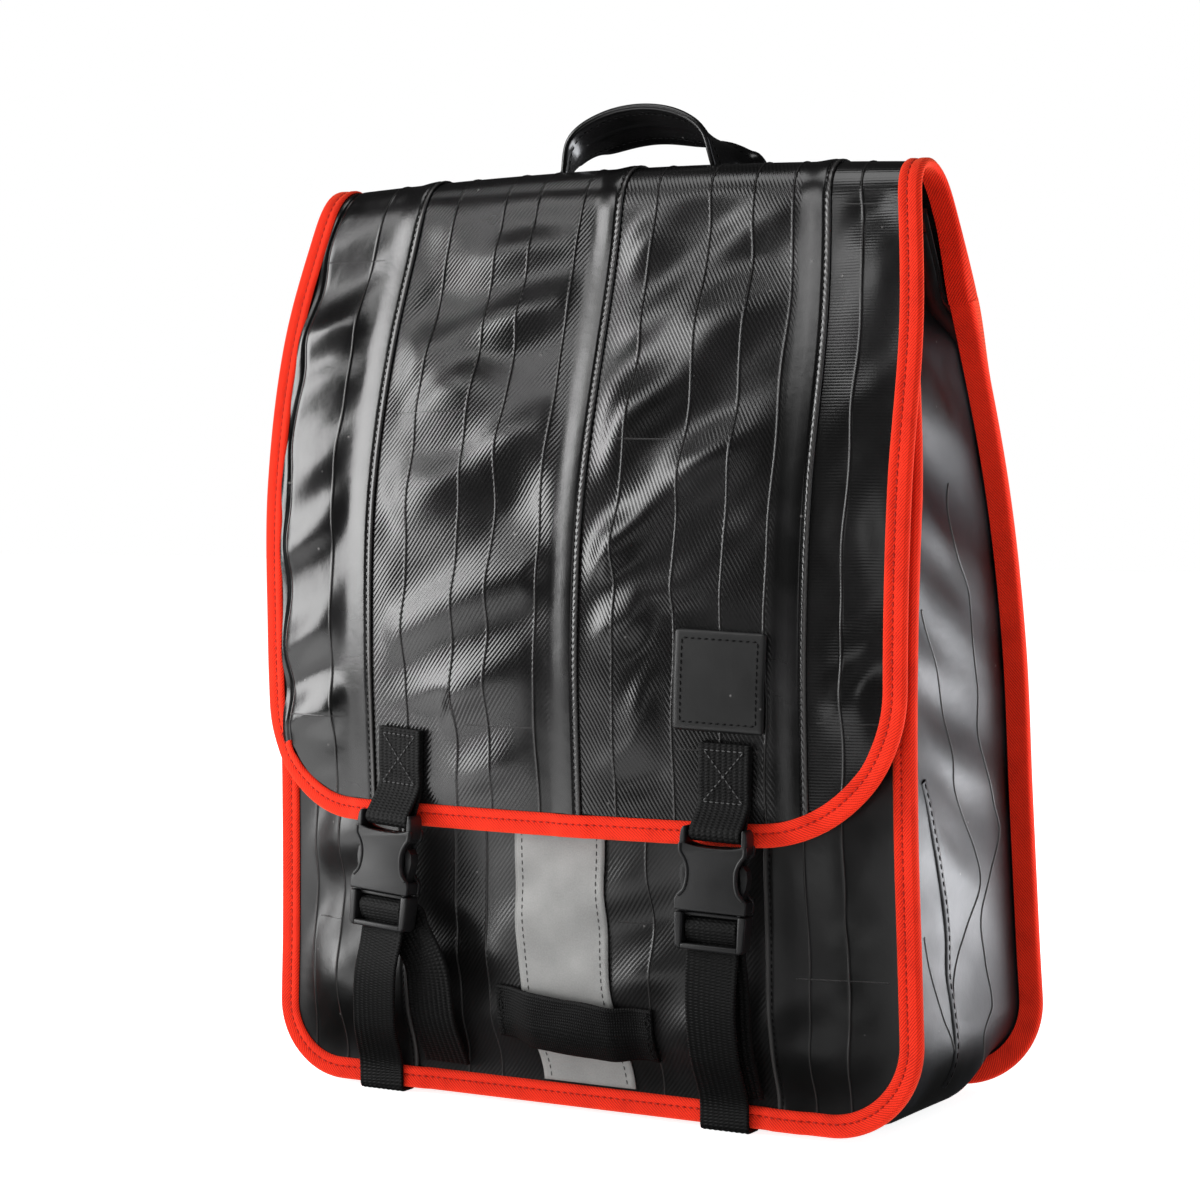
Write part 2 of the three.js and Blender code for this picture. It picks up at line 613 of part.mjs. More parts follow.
const SOCKET_OUTLINE = [
  { x: 14, z: 2.4 }, { x: 14.6, z: -5.6 }, { x: 14.8, z: -9 }, { x: 12, z: -11.8 }, { x: 11, z: -16.2 },
  { x: 11.8, z: -20.6 }, { x: 14.6, z: -23.8 }, { x: 15.3, z: -26 }, { x: 15, z: BUCKLE.socketEnd },
];
const ARM_OUTLINE = [
  { x: 10.4, z: -11 }, { x: 12.8, z: -13.2 }, { x: 13.3, z: -16.8 }, { x: 12.2, z: -21.4 },
  { x: 12, z: BUCKLE.plugTop },
];
const FRAME_OUTLINE = [
  { x: 15, z: BUCKLE.plugTop }, { x: 15.1, z: -34.2 }, { x: 14.2, z: -44.4 }, { x: 13.2, z: BUCKLE.plugEnd },
];
const socketHalf = BUCKLE.thick / 2;
const INNER_BAR = { y: 0.6, z: -36.8, radius: 1.9 };

function socketGeometry() {
  return shapeOf(plate(SOCKET_OUTLINE, -socketHalf, socketHalf, 0.9)
    .subtract(block(BUCKLE.slot, BUCKLE.slotLow, 4, -9, 9))
    .subtract(block(12.7, BUCKLE.socketEnd - 1, -9, -3.1, 3.1))
    .add(rod(BUCKLE.bar, BUCKLE.slot + 0.8, 0, 0)));
}

function plugGeometry() {
  const arms = plate(ARM_OUTLINE, -2.6, 2.6, 0)
    .subtract(block(8, BUCKLE.plugTop + 3, 0, -9, 9))
    .add(block(2.4, BUCKLE.plugTop + 1, -14, -2.6, 2.6));
  return shapeOf(plate(FRAME_OUTLINE, -4.4, 3.8, 0.7)
    .subtract(block(11.6, -42.8, -32.6, -9, 9))
    .subtract(block(11.6, -60, -37, -1, 9))
    .add(rod(INNER_BAR.radius, 12.2, INNER_BAR.y, INNER_BAR.z))
    .add(arms)
    .add(block(12, BUCKLE.plugTop - 1, BUCKLE.plugTop + 0.2, -2.6, 2.6)));
}

// Tab: webbing folded round the socket's bar, both layers sewn on the flap
const flapYAt = (x, z) => flap(x, flapAtHeight(z)).y;
function tabGeometry(x, height, barY) {
  const base = flapYAt(x, height);
  const rear = (z) => flapYAt(x, z) - base - SLACK;
  const shape = new THREE.Shape();
  const sewn = [TAB.top, (TAB.top + TAB.sewnDown) / 2, TAB.sewnDown];
  shape.moveTo(rear(sewn[0]), sewn[0] - height);
  for (const z of sewn.slice(1)) shape.lineTo(rear(z), z - height);
  shape.lineTo(barY + BUCKLE.ring, 0);
  shape.absarc(barY, 0, BUCKLE.ring, 0, -Math.PI, true);
  for (const z of sewn.toReversed()) shape.lineTo(rear(z) - TAB.thick, z - height);
  const hole = new THREE.Path();
  hole.absarc(barY, 0, BUCKLE.bar + GAP, 0, 2 * Math.PI, false);
  shape.holes.push(hole);
  const geometry = new THREE.ExtrudeGeometry(shape, {
    depth: TAB.width, bevelEnabled: false, curveSegments: 5,
  });
  geometry.rotateY(Math.PI / 2).rotateX(Math.PI / 2).translate(-TAB.width / 2, 0, 0);
  return shapeOf(body(geometry));
}

// A flat ribbon through guide rows: a place, and the direction of its width
function ribbon(rows, width, thick, perRow, scale = () => ({ width: 1, thick: 1 })) {
  const path = new THREE.CatmullRomCurve3(rows.map((row) => row.at), false, "centripetal");
  const turn = new THREE.CatmullRomCurve3(rows.map((row) => row.wide), false, "catmullrom");
  const count = (rows.length - 1) * perRow;
  const section = [[-1, -1], [1, -1], [1, 1], [-1, 1]].map(([x, y]) => new THREE.Vector2(x, y));
  const stations = steps(0, 1, count).map((t) => {
    const point = path.getPoint(t);
    const along = path.getTangent(t);
    const normal = vector().crossVectors(along, turn.getPoint(t)).normalize();
    const across = vector().crossVectors(normal, along).normalize();
    const size = scale(t);
    return (corner) => point.clone()
      .addScaledVector(across, (corner.x * width * size.width) / 2)
      .addScaledVector(normal, (corner.y * thick * size.thick) / 2);
  });
  return sweep(section, stations);
}
const straight = vector(1, 0, 0);

// Closing strap: from the seam up round the plug's inner bar, then down as a tail tucked under the binding
function strapRows(closure, anchorX, tailX, frontFace) {
  const place = (y, z) => closure.localToWorld(vector(0, y, z));
  const { y, z, radius } = INNER_BAR;
  const round = radius + 0.4 + STRAP.thick / 2;
  const bottomFace = front(8) - SLACK - TAPE - LIFT - 0.5 - STRAP.thick / 2;
  const under = BOTTOM - 0.45 - STRAP.thick / 2;
  const mid = (a, b, t) => a.clone().lerp(b, t);
  const end = BUCKLE.plugEnd;
  const anchorTop = place(y + round, end - 2);
  const anchor = vector(anchorX, frontFace(anchorX, 15.6) - GAP - 2.1, 15.6);
  const tailTop = place(0.3, end - 2);
  const tailLow = vector(tailX, bottomFace - 0.5, 13);
  const held = closure.localToWorld(vector(1, 0, 0)).sub(closure.localToWorld(vector(0, 0, 0)));
  const free = (at) => ({ at, wide: straight });
  const kept = (at) => ({ at, wide: held });
  return [
    free(anchor),
    free(mid(anchor, anchorTop, 0.35).add(vector(0, -4, 0))),
    kept(mid(anchor, anchorTop, 0.75).add(vector(0, -2, 0))),
    kept(anchorTop),
    kept(place(y + round, end + 3.5)),
    kept(place(y + round, z)),
    kept(place(y + 0.7 * round, z + 0.7 * round)),
    kept(place(y, z + round)),
    kept(place(y - 0.7 * round, z + 0.7 * round)),
    kept(place(y - round, z)),
    kept(place(y - 0.6 * round, end + 5)),
    kept(place(0.5, end + 2)),
    kept(tailTop),
    free(mid(tailTop, tailLow, 0.33).add(vector(0, -5, 0))),
    free(mid(tailTop, tailLow, 0.68).add(vector(0, -5, 0))),
    free(tailLow),
    free(vector(tailX, bottomFace, 3.2)),
    free(vector(tailX, bottomFace + 0.35, under + 0.35)),
    free(vector(tailX, bottomFace + 1.4, under)),
    free(vector(tailX, bottomFace + 8, under)),
  ];
}

const SIDES = [
  { side: "left", sign: -1, height: 119.6, anchorX: -64, tailX: -94, roll: 0.05, tilt: 0.06 },
  { side: "right", sign: 1, height: 122.2, anchorX: 74, tailX: 68, roll: 0.03, tilt: 0.02 },
];
for (const { side, sign, height, anchorX, tailX, roll, tilt } of SIDES) {
  const x = sign * CLOSURE.x;
  const slope = (flapYAt(x + 4, height + 20) - flapYAt(x - 4, height + 20)) / 8;
  const fastening = new THREE.Group();
  fastening.position.set(x, flapYAt(x, height), height);
  fastening.rotation.z = Math.atan(slope);
  bag.add(fastening);
  const barY = -CLOSURE.barOut;
  const hanging = new THREE.Group();
  hanging.rotation.y = roll;
  fastening.add(hanging);
  add(`tab_${side}`, tabGeometry(x, height, barY), "webbing", hanging);
  const buckle = new THREE.Group();
  buckle.position.set(0, barY, 0);
  buckle.rotation.x = -tilt;
  hanging.add(buckle);
  add(`socket_${side}`, socketGeometry(), "plastic", buckle);
  add(`plug_${side}`, plugGeometry(), "plastic", buckle);
  bag.updateMatrixWorld(true);
  const frontFace = (px, pz) => frontPanel(px, pz).y;
  const run = strapRows(buckle, anchorX, tailX, frontFace);
  add(`strap_${side}`, ribbon(run, STRAP.width, STRAP.thick, 2), "webbing");
}

// Carrying handle: flat feet sewn on the back of the flap, twisting up into an arch
const archEnd = archPoint(ARCH.end);
const flapBack = (z) => lerp(archEnd.x, flapHem.x, (archEnd.y - z) / (archEnd.y - FLAP_BACK_END));
const handleFace = (z) => flapBack(z) + GAP + HANDLE.thick / 2;
const HANDLE_ROWS = [
  { x: HANDLE.foot, y: handleFace(336), z: 336, wide: [1, 0, 0] },
  { x: HANDLE.foot, y: handleFace(350), z: 350, wide: [1, 0, 0] },
  { x: HANDLE.foot, y: handleFace(364) + 0.6, z: 364, wide: [1, 0.04, 0] },
  { x: 47, y: -4.5, z: 376, wide: [0.93, 0.37, 0] },
  { x: 43.5, y: -8, z: 388, wide: [0.6, 0.8, -0.05] },
  { x: 33, y: -10, z: 399, wide: [0.25, 0.85, -0.4] },
  { x: 17, y: -10.5, z: 405, wide: [0.08, 0.83, -0.55] },
];
const handleRow = (row, sign) => ({
  at: vector(sign * row.x, row.y, row.z), wide: vector(row.wide[0], sign * row.wide[1], sign * row.wide[2]),
});
const handleRows = [
  ...HANDLE_ROWS.map((row) => handleRow(row, -1)).map((row) => ({ at: row.at, wide: row.wide })),
  { at: vector(0, -10.5, 407), wide: vector(0, 0.82, -0.57) },
  ...HANDLE_ROWS.toReversed().map((row) => handleRow(row, 1)),
];
for (const row of handleRows) if (row.at.x < 0) row.wide.set(-row.wide.x, -row.wide.y, -row.wide.z);
add("handle", ribbon(handleRows, HANDLE.width, HANDLE.thick, 2), "rubber");

// Shoulder straps: a padded band from the top of the back, its webbing and slider down to the lower corner
const PAD_ROWS = [
  { x: 90, y: flapBack(364) + LIFT + GAP + PAD.sewn / 2, z: 364 },
  { x: 90, y: flapBack(346) + LIFT + GAP + PAD.sewn / 2, z: 346 },
  { x: 90, y: flapBack(334) + LIFT + GAP + PAD.sewn / 2 + 1, z: 334 },
  { x: 90, y: 24, z: 304 },
  { x: 90, y: 50, z: 256 },
  { x: 91, y: 70, z: 200 },
  { x: 92, y: 79, z: 150 },
  { x: 93, y: 80, z: 118 },
];
const WEBBING_ROWS = [
  { x: 92, y: 85.6, z: 150 },
  { x: 93, y: 85.4, z: 122 },
  { x: 95, y: 83, z: 106 },
  { x: 97, y: 80.5, z: 94 },
  { x: 100, y: 76.5, z: 76 },
  { x: 105, y: 69.5, z: 54 },
  { x: 108, y: 64.8, z: 38 },
  { x: 110, y: 64.1, z: 25 },
];
const SLIDER = { row: 3, half: 15.5, slot: 13.1, thick: 5.4, gap: 2.7, high: 9 };
function sliderGeometry() {
  const box = (wide, thick) => new THREE.Path().setFromPoints(
    [[-wide, -thick], [wide, -thick], [wide, thick], [-wide, thick]].map(([x, y]) => new THREE.Vector2(x, y)),
  );
  const shape = new THREE.Shape(box(SLIDER.half, SLIDER.thick / 2).getPoints());
  shape.holes.push(box(SLIDER.slot, SLIDER.gap / 2));
  const geometry = new THREE.ExtrudeGeometry(shape, { depth: SLIDER.high, bevelEnabled: false });
  return shapeOf(body(geometry.translate(0, 0, -SLIDER.high / 2)));
}
for (const sign of [-1, 1]) {
  const side = sign < 0 ? "left" : "right";
  const rows = (table) => table.map((row) => ({ at: vector(sign * row.x, row.y, row.z), wide: straight }));
  const padScale = (t) => ({
    width: 1 - 0.3 * smoothstep(t, 0.86, 1),
    thick: lerp(PAD.sewn / PAD.thick, 1, smoothstep(t, 0.26, 0.42)) - 0.35 * smoothstep(t, 0.9, 1),
  });
  add(`pad_${side}`, ribbon(rows(PAD_ROWS), PAD.width, PAD.thick, 2, padScale), "pad");
  add(`webbing_${side}`, ribbon(rows(WEBBING_ROWS), WEBBING.width, WEBBING.thick, 2), "webbing");
  const run = rows(WEBBING_ROWS).map((row) => row.at);
  const slider = add(`slider_${side}`, sliderGeometry(), "plastic");
  const along = run[SLIDER.row - 1].clone().sub(run[SLIDER.row + 1]).normalize();
  const outward = vector().crossVectors(along, straight).normalize();
  slider.position.copy(run[SLIDER.row]);
  slider.setRotationFromMatrix(new THREE.Matrix4().makeBasis(
    vector().crossVectors(outward, along).normalize(), outward, along,
  ));
}

export default bag;
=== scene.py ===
"""Dresses the flap-top backpack: rubber strips, binding tape, webbing, buckles and shoulder straps.

Sizes are in millimetres and become metres when a mesh is made. X runs to the right of someone who faces the
flap, Y to the back and Z up from the floor.
"""

import logging
import math
from collections.abc import Callable, Sequence
from dataclasses import dataclass, field, replace
from enum import Enum
from functools import partial
from typing import NamedTuple

import bmesh
import bpy
import numpy as np
from mathutils import Matrix, Vector


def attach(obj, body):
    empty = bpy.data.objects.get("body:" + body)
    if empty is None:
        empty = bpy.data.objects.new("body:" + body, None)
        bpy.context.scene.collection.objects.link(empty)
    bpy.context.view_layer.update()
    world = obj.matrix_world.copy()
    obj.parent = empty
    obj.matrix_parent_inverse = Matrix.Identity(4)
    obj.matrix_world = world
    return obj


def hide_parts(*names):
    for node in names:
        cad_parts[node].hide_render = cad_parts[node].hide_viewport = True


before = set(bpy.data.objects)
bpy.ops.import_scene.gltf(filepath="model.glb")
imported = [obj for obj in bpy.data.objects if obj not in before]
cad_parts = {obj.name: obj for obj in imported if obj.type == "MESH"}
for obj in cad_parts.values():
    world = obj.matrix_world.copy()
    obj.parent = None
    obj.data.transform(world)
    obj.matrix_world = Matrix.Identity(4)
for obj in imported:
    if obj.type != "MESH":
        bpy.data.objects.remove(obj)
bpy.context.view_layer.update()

log = logging.getLogger("backpack")
Array = np.ndarray
BMesh = bmesh.types.BMesh
Material = bpy.types.Material
Socket = bpy.types.NodeSocket
AddNode = Callable[..., Socket]
Surface = Callable[[Array, Array], Array]
MM = 0.001
BODY = "root"
SURFACE_UV = "surface"
# The vertex attribute that pales rib crests, lips and mould lines as a painted highlight, partly scuffing at
# the lips; below zero it marks where the print is left off.
WEAR = "wear"
X_AXIS = np.array([1, 0, 0])


class Slot(Enum):
    """Material slots of the record."""

    RUBBER = "tube_rubber"
    TAPE = "edge_tape"
    WEBBING = "webbing"
    PLASTIC = "buckle_plastic"
    REFLECTIVE = "reflective_tape"
    ELASTIC = "elastic"
    PAD = "pad_fabric"


class Grain(Enum):
    """Direction of the fine print that the tube mould left on a strip, in degrees from level."""

    RISING = 52
    FALLING = -58
    LEVEL = 0
    SMOOTH = None


class Lap(Enum):
    """Which neighbour a strip is lapped over."""

    RIGHT = "right"
    LEFT = "left"
    NONE = "none"


class Side(Enum):
    """Left or right of someone who faces the flap."""

    LEFT = -1
    RIGHT = 1

    @property
    def word(self) -> str:
        """The side's name as the nodes spell it."""
        return self.name.lower()


# Curves and surfaces


def smoothstep(at: Array, low: float, high: float) -> Array:
    """Rises smoothly from 0 at low to 1 at high."""
    share = np.clip((np.asarray(at, float) - low) / (high - low), 0, 1)
    return share * share * (3 - 2 * share)


def ridge(away: Array, reach: float) -> Array:
    """A round hump that is 1 where away is 0 and fades over its reach."""
    return np.exp(-((np.asarray(away, float) / reach) ** 2))


def unit(vectors: Array) -> Array:
    """Vectors scaled to a length of one."""
    return vectors / np.linalg.norm(vectors, axis=-1, keepdims=True)


def stack(*parts: Array) -> Array:
    """Arrays side by side, so that the last axis runs over them."""
    return np.stack(parts, axis=-1)


def run_length(points: Array) -> Array:
    """Length along a row of points, from its first point."""
    return np.concatenate([[0], np.cumsum(np.linalg.norm(np.diff(points, axis=0), axis=1))])


def along_line(at: Array, length: Array, line: Array) -> Array:
    """Points on a line at the given lengths, with the length at each of its own points."""
    return stack(*[np.interp(at, length, column) for column in line.T])


class Curve:
    """A smooth curve through the rows of a table, with each slope the mean of its two neighbours'."""

    def __init__(self, at: Sequence[float], values: Sequence) -> None:
        """Args: at: where each row is. values: a number or a point for each row."""
        self.at = np.asarray(at, float)
        self.values = np.asarray(values, float)
        gaps = np.diff(self.at).reshape(-1, *[1] * (self.values.ndim - 1))
        secants = np.diff(self.values, axis=0) / gaps
        self.slopes = np.concatenate([secants[:1], (secants[1:] + secants[:-1]) / 2, secants[-1:]])

    def __call__(self, at: Array) -> Array:
        """The curve's value at each place, held at its end values outside the table.

        Args:
            at: Places along the table.

        Returns:
            A number or a point for each place.
        """
        place = np.clip(np.asarray(at, float), self.at[0], self.at[-1])
        k = np.clip(np.searchsorted(self.at, place, side="right") - 1, 0, len(self.at) - 2)
        gap = self.at[k + 1] - self.at[k]
        p = (place - self.at[k]) / gap
        if self.values.ndim > 1:
            gap, p = gap[..., None], p[..., None]
        start, end = self.values[k], self.values[k + 1]
        leave, arrive = self.slopes[k] * gap, self.slopes[k + 1] * gap
        bend = (2 * start - 2 * end + leave + arrive) * p - (3 * start - 3 * end + 2 * leave + arrive)
        return (bend * p + leave) * p + start


def smooth_path(points: Sequence, step: float) -> Array:
    """Evenly spaced points on a smooth line through a few.

    Args:
        points: The places that the line goes through.
        step: The distance from point to point.

    Returns:
        The points, ends included.
    """
    rows = np.asarray(points, float)
    spans = np.sqrt(np.linalg.norm(np.diff(rows, axis=0), axis=1))
    along = np.concatenate([[0], np.cumsum(spans)])
    fine = Curve(along, rows)(np.linspace(0, along[-1], 40 * len(rows)))
    length = run_length(fine)
    even = np.linspace(0, length[-1], max(2, round(length[-1] / step)) + 1)
    return along_line(even, length, fine)


class SurfaceFrame(NamedTuple):
    """Places on a surface with their two directions and the outward one."""

    point: Array
    across: Array
    along: Array
    normal: Array


def frame_on(surface: Surface, a: Array, b: Array) -> SurfaceFrame:
    """The outward frame of a surface at each pair of its two parameters."""
    nudge = 0.4
    across = unit(surface(a + nudge, b) - surface(a - nudge, b))
    along = unit(surface(a, b + nudge) - surface(a, b - nudge))
    return SurfaceFrame(surface(a, b), across, along, unit(np.cross(across, along)))


# Meshes


def grid_mesh(points: Array, uv: Array, closed: bool = False, wear: Array | float = 0) -> BMesh:
    """Bends a flat grid to the given places.

    Args:
        points: A place for each vertex, rows by columns.
        uv: Lengths across and along the surface at each vertex, for patterns that follow it.
        closed: Whether the last column lies on the first, so that the sheet is a tube to be capped.
        wear: How far a painted highlight, with some scuffing at the lips, has paled each vertex, from 0 to 1.

    Returns:
        The mesh in metres, with its UV map and how far each vertex is paled.
    """
    rows, columns = points.shape[:2]
    bm = bmesh.new()
    layer = bm.loops.layers.uv.new(SURFACE_UV)
    paled = bm.verts.layers.float.new(WEAR)
    bmesh.ops.create_grid(bm, x_segments=columns - 1, y_segments=rows - 1, size=1)
    bm.verts.index_update()
    flat = np.array([vertex.co for vertex in bm.verts])
    column = np.rint((flat[:, 0] + 1) / 2 * (columns - 1)).astype(int)
    row = np.rint((flat[:, 1] + 1) / 2 * (rows - 1)).astype(int)
    worn = np.broadcast_to(wear, (rows, columns))[row, column].tolist()
    for vertex, place, share in zip(bm.verts, (points[row, column] * MM).tolist(), worn):
        vertex.co = place
        vertex[paled] = share
    lengths = (uv[row, column] * MM).tolist()
    for face in bm.faces:
        for loop in face.loops:
            loop[layer].uv = lengths[loop.vert.index]
    if closed:
        bmesh.ops.remove_doubles(bm, verts=bm.verts, dist=1e-6)
        bmesh.ops.holes_fill(bm, edges=bm.edges)
        bmesh.ops.recalc_face_normals(bm, faces=bm.faces)
    return bm


def swept_mesh(
    section: Array, path: Array, across: Array, normal: Array, scale: Array | None = None, wear: float = 0,
) -> BMesh:
    """Sweeps a closed section along a path.

    Args:
        section: Places across and outward, the last on the first.
        path: The points of the line.
        across: The direction of the section's first number at each point.
        normal: The direction of its second number.
        scale: Factors of the two numbers at each point.
        wear: How far a painted highlight has paled it.

    Returns:
        The closed mesh.
    """
    size = np.ones((len(path), 2)) if scale is None else scale
    points = (
        path[:, None]
        + across[:, None] * (section[:, :1] * size[:, None, :1])
        + normal[:, None] * (section[:, 1:] * size[:, None, 1:])
    )
    around, along = run_length(section), run_length(path)
    uv = stack(*np.meshgrid(around, along))
    return grid_mesh(points, uv, closed=True, wear=wear)


def band_section(width: float, thick: float, across: int, rib: float = 0, rib_height: float = 0) -> Array:
    """The closed section of a flat band with round edges and, where asked, lengthwise ribs.

    Args:
        width: The band's width.
        thick: Its thickness.
        across: Steps over each flat face.
        rib: The distance from rib to rib, or 0 for none.
        rib_height: How far the ribs stand up.

    Returns:
        Places across and outward, the last on the first.
    """
    radius = thick / 2
    flat = np.linspace(-width / 2 + radius, width / 2 - radius, across + 1)
    raised = radius + (rib_height * (0.5 + 0.5 * np.cos(2 * np.pi * flat / rib)) if rib else 0 * flat)
    bend = np.radians(np.linspace(-90, 90, 7))[1:-1]
    edge = stack(flat[-1] + radius * np.cos(bend), radius * np.sin(bend))
    under = stack(flat, -raised)
    over = stack(flat[::-1], raised[::-1])
    return np.concatenate([under, edge, over, -edge, under[:1]])


def ribbon_frame(path: Array, wide: Array) -> tuple[Array, Array]:
    """Directions across and out of a ribbon.

    Args:
        path: The points of its middle line.
        wide: A rough direction of its width at each point.

    Returns:
        The direction across and the direction out, at each point.
    """
    along = unit(np.gradient(path, axis=0))
    normal = unit(np.cross(along, wide))
    return unit(np.cross(normal, along)), normal


def add_bead(
    bm: BMesh, line: Array, out: Array, width: float, height: float, wear: float = 0,
) -> None:
    """Adds a fine raised line to a mesh in metres.

    Args:
        bm: The mesh that takes it.
        line: The points of the line.
        out: The direction out of the surface at each point.
        width: The bead's width.
        height: How far it stands up.
        wear: How far a painted highlight has paled it.
    """
    across, normal = ribbon_frame(line, np.cross(out, unit(np.gradient(line, axis=0))))
    normal = normal * np.sign((normal * out).sum(1, keepdims=True))
    turn = np.radians(np.linspace(0, 360, 11))
    section = stack(width / 2 * np.cos(turn), height * np.sin(turn))
    bead = swept_mesh(section, line, across, normal, wear=wear)
    made = bpy.data.meshes.new("bead")
    bead.to_mesh(made)
    bead.free()
    bm.from_mesh(made)
    bpy.data.meshes.remove(made)


def add_plate(bm: BMesh, outline: Sequence, near: float, far: float, round_edge: float) -> None:
    """Adds a plate with rounded edges.

    Args:
        bm: The mesh that takes it.
        outline: Places across and up, in order round the plate.
        near: The depth of its front face.
        far: The depth of its rear face.
        round_edge: The rounding of its edges.
    """
    corners = [bm.verts.new((x, near, z)) for x, z in outline]
    made = bmesh.ops.contextual_create(bm, geom=corners)
    pulled = bmesh.ops.extrude_face_region(bm, geom=made["faces"])
    moved = [item for item in pulled["geom"] if isinstance(item, bmesh.types.BMVert)]
    bmesh.ops.translate(bm, verts=moved, vec=(0, far - near, 0))
    faces = list(dict.fromkeys(face for vertex in corners + moved for face in vertex.link_faces))
    bmesh.ops.recalc_face_normals(bm, faces=faces)
    edges = dict.fromkeys(edge for face in faces for edge in face.edges)
    sharp = [edge for edge in edges if edge.calc_face_angle(0) > math.radians(30)]
    bmesh.ops.bevel(
        bm, geom=sharp, offset=round_edge, offset_type="OFFSET", segments=3, profile=0.5,
        affect="EDGES", material=-1, clamp_overlap=True,
    )


def add_rod(bm: BMesh, radius: float, reach: float, y: float, z: float) -> None:
    """Adds a round bar across, of a radius and half a length, at a depth and a height."""
    place = Matrix.Translation((0, y, z)) @ Matrix.Rotation(math.pi / 2, 4, "Y")
    bmesh.ops.create_cone(
        bm, cap_ends=True, segments=20, radius1=radius, radius2=radius, depth=2 * reach, matrix=place,
    )


def mirrored(half: Sequence) -> list:
    """A whole outline from the right-hand half, which runs from the top down."""
    return list(half) + [(-x, z) for x, z in reversed(half)]


def box_outline(half_width: float, low: float, high: float, middle: float = 0) -> list:
    """The outline of an upright rectangle."""
    left, right = middle - half_width, middle + half_width
    return [(left, low), (right, low), (right, high), (left, high)]


def add_object(name: str, data: bpy.types.ID) -> bpy.types.Object:
    """Makes an object and links it to the scene."""
    made = bpy.data.objects.new(name, data)
    bpy.context.scene.collection.objects.link(made)
    return made


def add_piece(
    bm: BMesh, name: str, finish: "Finish", nodes: Sequence[str] = (), wall: float = 0, sharp: float = 50,
) -> bpy.types.Object:
    """Makes an object of a finished mesh, and joins it to the frame.

    Args:
        bm: The mesh, in metres and in place.
        name: The piece's name.
        finish: Its finish.
        nodes: The solids that it stands for.
        wall: The thickness of a sheet's wall, or 0 for a closed mesh.
        sharp: The angle from which an edge is sharp, in degrees.

    Returns:
        The object.
    """
    mesh = bpy.data.meshes.new(name)
    bm.to_mesh(mesh)
    bm.free()
    mesh.shade_smooth()
    mesh.set_sharp_from_angle(angle=math.radians(sharp))
    mesh.materials.append(finish.material)
    piece = add_object(name, mesh)
    if wall:
        solid = piece.modifiers.new("wall", "SOLIDIFY")
        solid.thickness = wall * MM
        solid.offset = -1
    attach(piece, BODY)
    if nodes:
        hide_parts(*nodes)
    log.info("%s: %d faces", name, len(mesh.polygons))
    return piece


# Finishes


def linear(colour: str) -> tuple[float, float, float, float]:
    """An sRGB hex colour as linear red, green, blue and alpha."""
    channels = [int(colour[i : i + 2], 16) / 255 for i in (1, 3, 5)]
    light = [c / 12.92 if c <= 0.04045 else ((c + 0.055) / 1.055) ** 2.4 for c in channels]
    return (*light, 1)


def wave_scale(pitch: float) -> float:
    """The scale of a wave texture whose bands lie a pitch in millimetres apart."""
    return 2 * math.pi / 20 / (pitch * MM)


def grain_scale(size: float) -> float:
    """The scale of a noise texture whose grains are a size in millimetres."""
    return 1 / (size * MM)


def add_node(
    tree: bpy.types.NodeTree, kind: str, inputs: dict | None = None, out: str = "", **settings,
) -> Socket | None:
    """Adds a shader node.

    Args:
        tree: The material's node tree.
        kind: The node's type, without its common prefix.
        inputs: A value for an input, or the output that feeds it.
        out: The output that is wanted, if not the first one in use.
        settings: The node's own properties.

    Returns:
        That output, or nothing for a node without one.
    """
    node = tree.nodes.new("ShaderNode" + kind)
    for key, value in settings.items():
        setattr(node, key, value)
    for key, value in (inputs or {}).items():
        if isinstance(value, Socket):
            tree.links.new(value, node.inputs[key])
        else:
            node.inputs[key].default_value = value
    if out:
        return node.outputs[out]
    return next((socket for socket in node.outputs if socket.enabled), None)


def new_tree(name: str) -> tuple[Material, AddNode]:
    """An empty material, with add_node for its tree."""
    material = bpy.data.materials.new(name)
    material.use_nodes = True
    material.node_tree.nodes.clear()
    return material, partial(add_node, material.node_tree)


def end_tree(node: AddNode, shine: dict, relief: tuple = (), tones: tuple = ()) -> None:
    """Ends a material in a principled shader.

    Args:
        node: The function that adds a node to it.
        shine: The shader's inputs.
        relief: What its fine relief follows, the relief's strength and its depth in millimetres.
        tones: What mixes its two colours, and the colours, where shine has none.
    """
    if tones:
        share, low, high = tones
        colour = node("Mix", {"Factor": share, "A": low, "B": high}, data_type="RGBA")
        shine = {**shine, "Base Color": colour}
    if relief:
        height, strength, depth = relief
        bump = node("Bump", {"Height": height, "Strength": strength, "Distance": depth * MM})
        shine = {**shine, "Normal": bump}
    node("OutputMaterial", {"Surface": node("BsdfPrincipled", shine)})


class Finish(NamedTuple):
    """A material, and the record's slot that it stands for, if any."""

    material: Material
    slot: Slot | None


